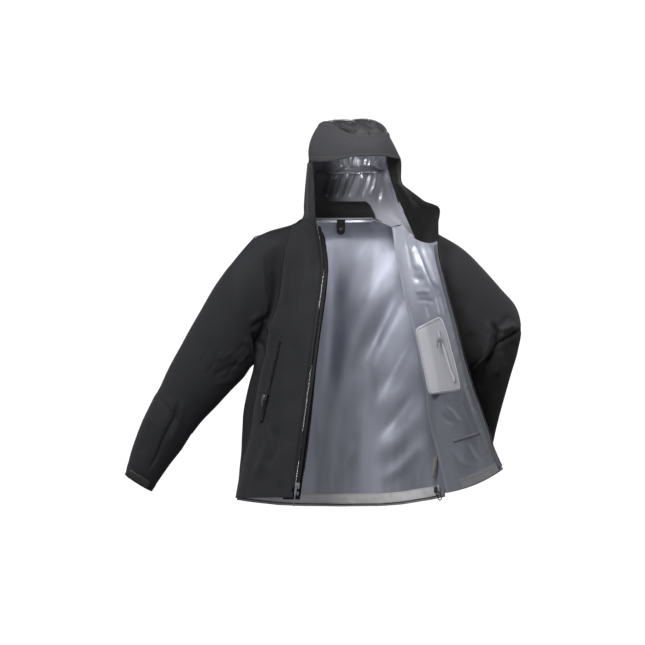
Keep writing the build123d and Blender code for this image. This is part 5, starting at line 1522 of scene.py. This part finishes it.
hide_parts("right_storm_flap")
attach(o, "right_front")
s = stitches("zip_stitch_right", ZPTS - ZU * 6.2 + ZN * 0.35, 0, ZN, "cord")
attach(s, "right_front")
bevelled("main_zip_slider", "metal", 0.5)
bevelled("main_zip_pull", "pullcord", 0.4)
bevelled("zip_retainer_box", "metal", 0.6)

# right hand pocket
PKA, PKB = right_pt(0.44, -287.0), right_pt(0.36, -490.0)
pd_ = unit(PKA - PKB)
pt_ = unit(right_pt(0.5, -388) - right_pt(0.38, -388))
pt_ = unit(pt_ - pd_ * np.dot(pt_, pd_))
pn_ = np.cross(pt_, pd_)
if pn_[1] > 0:
    pn_ = -pn_
PL = []
for q in np.linspace(0, 1, 60):
    z = -287.0 - 203.0 * q
    t = 0.44 - 0.08 * q
    PL.append(right_pt(t, z))
PL = A(PL)
PLN = []
for p in PL:
    PLN.append(pn_)
PLN = A(PLN)
# snap the line on the visual surface
flat = RF.reshape(-1, 3)
for i in range(len(PL)):
    d = flat - PL[i]
    k = np.argmin(d[:, 0] ** 2 + d[:, 2] ** 2)
    PL[i, 1] = min(PL[i, 1], flat[k, 1]) - 0.2
# welt strip in near-black: black welt plus painted shadow of the pocket mouth
o = ribbon("pocket_welt_right", PL + pt_ * 4.5 + pn_ * 1.0, pt_, pn_, 9.0, 1.2, "welt_black_and_painted_shadow", crown=0.6, k=9)
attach(o, "right_front")
o = ribbon("pocket_welt_right_outer", PL - pt_ * 4.5 + pn_ * 1.0, pt_, pn_, 8.0, 1.2, "shell", crown=0.4, k=9)
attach(o, "right_front")
o = coil("pocket_coil_right", PL + pn_ * 2.2, pt_, pn_, 3.6, 2.0, 1.6)
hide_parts("right_pocket_zip")
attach(o, "right_front")
bevelled("right_pocket_slider", "metal", 0.4)
bevelled("right_pocket_pull", "metal", 0.4)


def right_off(t, z, off):
    p = right_pt(t, z)
    a, b = right_pt(min(t + .04, 1), z), right_pt(max(t - .04, 0), z)
    n = unit(np.cross(b - a, (0, 0, 1)))
    if n[1] > 0:
        n = -n
    return p + n * off


RB = refine([[right_off(t, z, -5.5 - 3 * math.sin(math.pi * (t - .32) / .56)) for t in np.linspace(.32, .88, 7)] for z in np.linspace(-262, -520, 8)], 60, 50)
o = fabric("pocket_bag_right", RB, "lining", "lining", flip=1, thick=0.8)
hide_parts("right_pocket_bag")
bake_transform(o)

# ------------------------------------------------------------------ left front details
def on_flap(t, v, off=0.0):
    """Point on the displaced lining face of the folded front."""
    p = left_pt(t, v)
    i0 = 68
    sub = LFI[:, i0:]
    q = view(p[None, None])
    d = (sub[..., 0] - p[0]) ** 2 + (sub[..., 2] - p[2]) ** 2
    k = np.unravel_index(np.argmin(d), d.shape)
    n = LNI[:, i0:][k]
    return A((p[0], sub[k][1], p[2])) + n * off


LFI = LF + (LN * 1.1)
LNI = LN


def lf_line(t0, t1, v0, v1, off, n=60):
    P = A([on_flap(t0 + (t1 - t0) * q, v0 + (v1 - v0) * q, off) for q in np.linspace(0, 1, n)])
    K = np.ones(7) / 7
    P2 = P.copy()
    for k in range(3):
        P2[3:-3, k] = np.convolve(P[:, k], K, "valid")
    return P2


def lframe(t, v):
    d = unit(left_pt(t, max(v - .02, 0)) - left_pt(t, min(v + .02, 1)))
    x = unit(left_pt(min(t + .05, 1), v) - left_pt(max(t - .05, 0), v))
    x = unit(x - d * np.dot(d, x))
    n = np.cross(x, d)
    if n[1] > 0:
        n = -n
    return d, x, n


vv = np.linspace(0.015, 0.985, 70)
ZL = A([left_pt(1.0, v) for v in vv])
XL_ = A([lframe(1.0, v)[1] for v in vv])
NL_ = A([lframe(1.0, v)[2] for v in vv])
o = coil("zip_coil_left", ZL + XL_ * 1.4 + NL_ * 0.3, XL_, NL_, 4.0, 2.4, 1.7)
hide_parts("left_zip_teeth")
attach(o, "left_front")
o = ribbon("zip_tape_left", ZL - XL_ * 6.5 + NL_ * 3.3, XL_, NL_, 15.0, 0.8, "gztape", crown=0.5, k=11)
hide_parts("left_zip_tape")
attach(o, "left_front")
s = stitches("zip_stitch_left", ZL - XL_ * 13.0 + NL_ * 3.9, 0, NL_, "greycord")
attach(s, "left_front")
bevelled("zip_insertion_pin", "metal", 0.5)
_vy = view(LF)[1][:, 150]
_r0, _r1 = int(np.argmin(np.abs(_vy - 366))), int(np.argmin(np.abs(_vy - 433.5)))
for k, (t0, t1, v0, v1, w) in enumerate(((0.80, 0.80, 0.14, 0.95, 13.0), (0.04, 0.82, 0.797, 0.790, 9.0))):
    P = lf_line(t0, t1, v0, v1, 0.9, 70)
    d, x, n = lframe(0.5, 0.5)
    if k < 1:
        U = A([lframe(t0 + (t1 - t0) * q, v0 + (v1 - v0) * q)[1] for q in np.linspace(0, 1, 70)])
        N_ = A([lframe(t0 + (t1 - t0) * q, v0 + (v1 - v0) * q)[2] for q in np.linspace(0, 1, 70)])
    else:
        P = (LF + LN * 1.6)[_r1, 76:164]
        N_ = LN[_r1, 76:164]
        U = A([unit(LF[_r1 - 3, c] - LF[_r1 + 3, c]) for c in range(76, 164)])
    if k < 1:
        sub = LF[:, 69:187].reshape(-1, 3)
        near = [int(np.argmin(((sub - p_) ** 2).sum(1))) for p_ in P]
        nr_, nc_ = A([m_ // 118 for m_ in near]), A([69 + m_ % 118 for m_ in near])
        od_ = np.argsort(nr_)
        rws = np.arange(int(nr_.min()), int(nr_.max()) + 1)
        cen = np.interp(rws, nr_[od_], nc_[od_])
        cen = np.convolve(np.pad(cen, 8, mode="edge"), np.ones(17) / 17, mode="valid")
        strip = []
        for r_, c_r in zip(rws, cen):
            ci = int(round(c_r))
            sp = np.linalg.norm(LF[r_, ci + 6] - LF[r_, ci - 6]) / 12
            cc = c_r + np.linspace(-1, 1, 11) * 6.5 / sp
            lay = LF[r_] + LN[r_] * 1.3
            strip.append([[np.interp(c_v, np.arange(lay.shape[0]), lay[:, d_]) for d_ in range(3)] for c_v in cc])
        strip = A(strip)
        o = fabric("seam_tape_left_0", strip, "tape", "tape", flip=1 if normals(strip)[strip.shape[0] // 2, 5] @ LN[110, 150] < 0 else -1, thick=0.4)
    else:
        o = ribbon("seam_tape_left_%d" % k, P, U, N_, w, 0.4, "tape", crown=0.3)
    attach(o, "left_front")
    if k:
        s = stitches("pocket_bag_seam_left", P + N_ * 0.9 - U * 2.0, 0, N_, "cord", 2.5, 2.3, 0.5)
        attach(s, "left_front")
# pocket bag seen through the lining
PB = (LF + LN * 0.85)[_r0:_r1 + 1:2, 74:165:2]
fl = 1 if normals(PB)[PB.shape[0] // 2, 20, 1] > 0 else -1
o = fabric("pocket_bag_left", PB, "flap_lining_painted_light", "flap_lining_painted_light", flip=fl, thick=0.35)
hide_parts("left_pocket_bag")
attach(o, "left_front")

# inner pocket: padded, rounded corners
IPX = [(440.3, 315.5), (414.6, 329.0), (418, 345), (421.3, 360), (425, 378), (428, 391), (430.5, 395.3), (440, 395.3), (450, 393.5), (461, 390.8), (459.8, 380), (457, 370), (453.8, 357), (450, 343), (446.4, 330), (443, 320)]


def px_t(x, y):
    """Surface point of the folded front seen at frame position x, y."""
    sub = (slice(None), slice(68, None))
    d = (LX2[sub] - x) ** 2 + (LY2[sub] - y) ** 2
    k = np.unravel_index(np.argmin(d), d.shape)
    return LFI[sub][k], LNI[sub][k]


LX2, LY2 = view(LFI)
nr, ncol = 44, 34
GP = np.zeros((nr, ncol, 3))
lft = curve([(414.6, 329.0, 0), (418, 345, 0), (421.3, 360, 0), (425, 378, 0), (428.6, 395.3, 0)], nr)
rgt = curve([(440.6, 315.5, 0), (446, 329, 0), (451, 347, 0), (456, 366, 0), (461.3, 390.8, 0)], nr)
for i in range(nr):
    for j in range(ncol):
        q = j / (ncol - 1.0)
        # rounded corners: pull corner points in along a small radius
        f = i / (nr - 1.0)
        x = lft[i][0] + (rgt[i][0] - lft[i][0]) * q
        y = lft[i][1] + (rgt[i][1] - lft[i][1]) * q
        cxm, cym = 438.0, 358.0
        du, dv = min(q, 1 - q) * 31.0, min(f, 1 - f) * 70.0
        rad = 5.0
        if du < rad and dv < rad:
            k = math.hypot(rad - du, rad - dv)
            m = max(rad - du, rad - dv)
            if k > 1e-6:
                g = (m / k - 1) * 1.0
                ux = (1 if q < .5 else -1) * (rad - du)
                vy = (1 if f < .5 else -1) * (rad - dv)
                x += -ux * g * 0.92 + 0
                y += -vy * g * 0.92
        p, n = px_t(x, y)
        edge = min(1.0, min(du, dv) / 1.4)
        GP[i, j] = at_view(x, y, p[1]) + A((0, -1, 0)) * (1.2 + 4.2 * edge ** 0.5)
K = np.ones(5) / 5
for _ in range(2):
    Yc = GP[..., 1].copy()
    for i in range(nr):
        GP[i, 2:-2, 1] = np.convolve(Yc[i], K, "valid")
    Yc = GP[..., 1].copy()
    for j in range(ncol):
        GP[2:-2, j, 1] = np.convolve(Yc[:, j], K, "valid")
IP = refine(GP, 90, 60)
fl = 1 if normals(IP)[45, 30, 1] > 0 else -1
o = fabric("pocket_inner", IP, "pocket", "pocket", flip=fl, thick=1.2)
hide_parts("inner_pocket")
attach(o, "left_front")
IPN = normals(IP)
if IPN[45, 30, 1] > 0:
    IPN = -IPN
ring = np.concatenate([IP[3:-3, 3], IP[-4, 3:-3], IP[3:-3, -4][::-1], IP[3, 3:-3][::-1]])
rn = np.concatenate([IPN[3:-3, 3], IPN[-4, 3:-3], IPN[3:-3, -4][::-1], IPN[3, 3:-3][::-1]])
s = stitches("pocket_inner_stitch", ring + rn * 0.2, 0, rn, "greycord")
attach(s, "left_front")


def on_ip(x, y, off):
    q = at_view(x, y, -150)
    a, b = view(IP)
    d = (a - x) ** 2 + (b - y) ** 2
    k = np.unravel_index(np.argmin(d), d.shape)
    return IP[k] + IPN[k] * off


ipz = A([on_ip(439.6 + (457.5 - 439.6) * q, 331 + (385.5 - 331) * q, 0.4) for q in np.linspace(0, 1, 40)])
ipz = curve(ipz[::4], 60)
iu = unit(np.cross(unit(ipz[0] - ipz[-1]), (0, -1, 0)))
if iu[0] < 0:
    iu = -iu
inn_ = unit(np.cross(iu, unit(ipz[0] - ipz[-1])))
if inn_[1] > 0:
    inn_ = -inn_
o = coil("pocket_inner_coil", ipz + inn_ * 1.2, iu, inn_, 2.6, 1.5, 1.4, "pmetal")
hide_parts("inner_pocket_zip")
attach(o, "left_front")
for k, sd in enumerate((-1, 1)):
    s = ribbon("pocket_inner_welt_%d" % k, ipz + iu * sd * 3.6 + inn_ * 1.3, iu, inn_, 4.6, 1.0, "pocket", crown=0.4)
    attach(s, "left_front")
bevelled("inner_pocket_slider", "pmetal", 0.4)
bevelled("inner_pocket_pull", "pmetal", 0.4)

# outer hand pocket of the left front, on its shell side
L0, L1 = left_pt(0.42, 0.42, -4.0), left_pt(0.40, 0.72, -4.0)
d = unit(L0 - L1)
_d, x, n = lframe(0.4, 0.57)
x = unit(x - d * np.dot(x, d))
n = -np.cross(x, d)
if n[1] < 0:
    n = -n
LPL = np.linspace(L0, L1, 60)
o = coil("pocket_coil_left", LPL + n * 2.0, x, n, 3.6, 2.0, 1.6)
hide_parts("left_pocket_zip")
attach(o, "left_front")
for k, sd in enumerate((-1, 1)):
    s = ribbon("pocket_welt_left_%d" % k, LPL + x * sd * 6.0 + n * 1.0, x, n, 9.0, 1.2, "ztape" if sd > 0 else "shell", crown=0.5)
    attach(s, "left_front")
bevelled("left_pocket_slider", "metal", 0.4)
bevelled("left_pocket_pull", "metal", 0.4)

# ------------------------------------------------------------------ studio
def lamp(name, loc, to, size, power, col_=(1, 1, 1)):
    L = bpy.data.lights.new(name, "AREA")
    L.shape = "RECTANGLE"
    L.size, L.size_y = size
    L.energy = power
    L.color = col_
    o = bpy.data.objects.new(name, L)
    o.location = loc
    o.rotation_euler = (Vector(to) - Vector(loc)).to_track_quat("-Z", "Y").to_euler()
    bpy.context.scene.collection.objects.link(o)
    return o


lamp("key", (-1.35, -3.1, 2.0), (0, 0, -0.2), (1.5, 1.5), 92)
lamp("fill", (0.6, -5.0, -0.2), (0, 0, -0.3), (1.6, 2.0), 14)
_l = bpy.data.lights.new("hood_spot", "SPOT")
_l.energy, _l.spot_size, _l.spot_blend, _l.shadow_soft_size = 185, math.radians(8.0), 0.9, 0.2
_o = bpy.data.objects.new("hood_spot", _l)
_o.location = (0.35, -3.2, -0.15)
_o.rotation_euler = (Vector((0.07, 0.03, 0.115)) - Vector(_o.location)).to_track_quat("-Z", "Y").to_euler()
bpy.context.scene.collection.objects.link(_o)
lamp("back", (0.9, 4.4, 1.5), (0, 0, -0.2), (2.4, 2.0), 85)
lamp("side_left", (4.2, 1.0, 0.6), (0.1, 0, -0.2), (1.6, 2.0), 34)
lamp("side_right", (-4.2, 1.0, 0.6), (-0.1, 0, -0.2), (1.6, 2.0), 26)
lamp("top", (0.3, -0.9, 2.6), (0, 0, 0), (2.0, 1.0), 46)
w = bpy.data.worlds.new("studio")
bpy.context.scene.world = w
w.use_nodes = True
wt = w.node_tree
bg = wt.nodes["Background"]
bg.inputs[0].default_value = (0.95, 0.97, 1.0, 1)
bg.inputs[1].default_value = 0.14
bw = wt.nodes.new("ShaderNodeBackground")
bw.inputs[0].default_value = (1, 1, 1, 1)
bw.inputs[1].default_value = 1.1
lp = wt.nodes.new("ShaderNodeLightPath")
mw = wt.nodes.new("ShaderNodeMixShader")
wt.links.new(lp.outputs["Is Camera Ray"], mw.inputs[0])
wt.links.new(bg.outputs[0], mw.inputs[1])
wt.links.new(bw.outputs[0], mw.inputs[2])
wt.links.new(mw.outputs[0], wt.nodes["World Output"].inputs["Surface"])

cam = bpy.data.cameras.new("camera")
cam.sensor_width = 36.0
cam.sensor_fit = "HORIZONTAL"
cam.angle = 2 * math.atan(828.825 / 6000.0)
cam.clip_start, cam.clip_end = 0.1, 60
co = bpy.data.objects.new("camera", cam)
co.location = (-0.0475, -6.0, -0.2403)
co.rotation_euler = (math.pi / 2, 0, 0)
bpy.context.scene.collection.objects.link(co)
bpy.context.scene.camera = co
bpy.context.scene.view_settings.view_transform = "Standard"
bpy.context.scene.view_settings.look = "None"
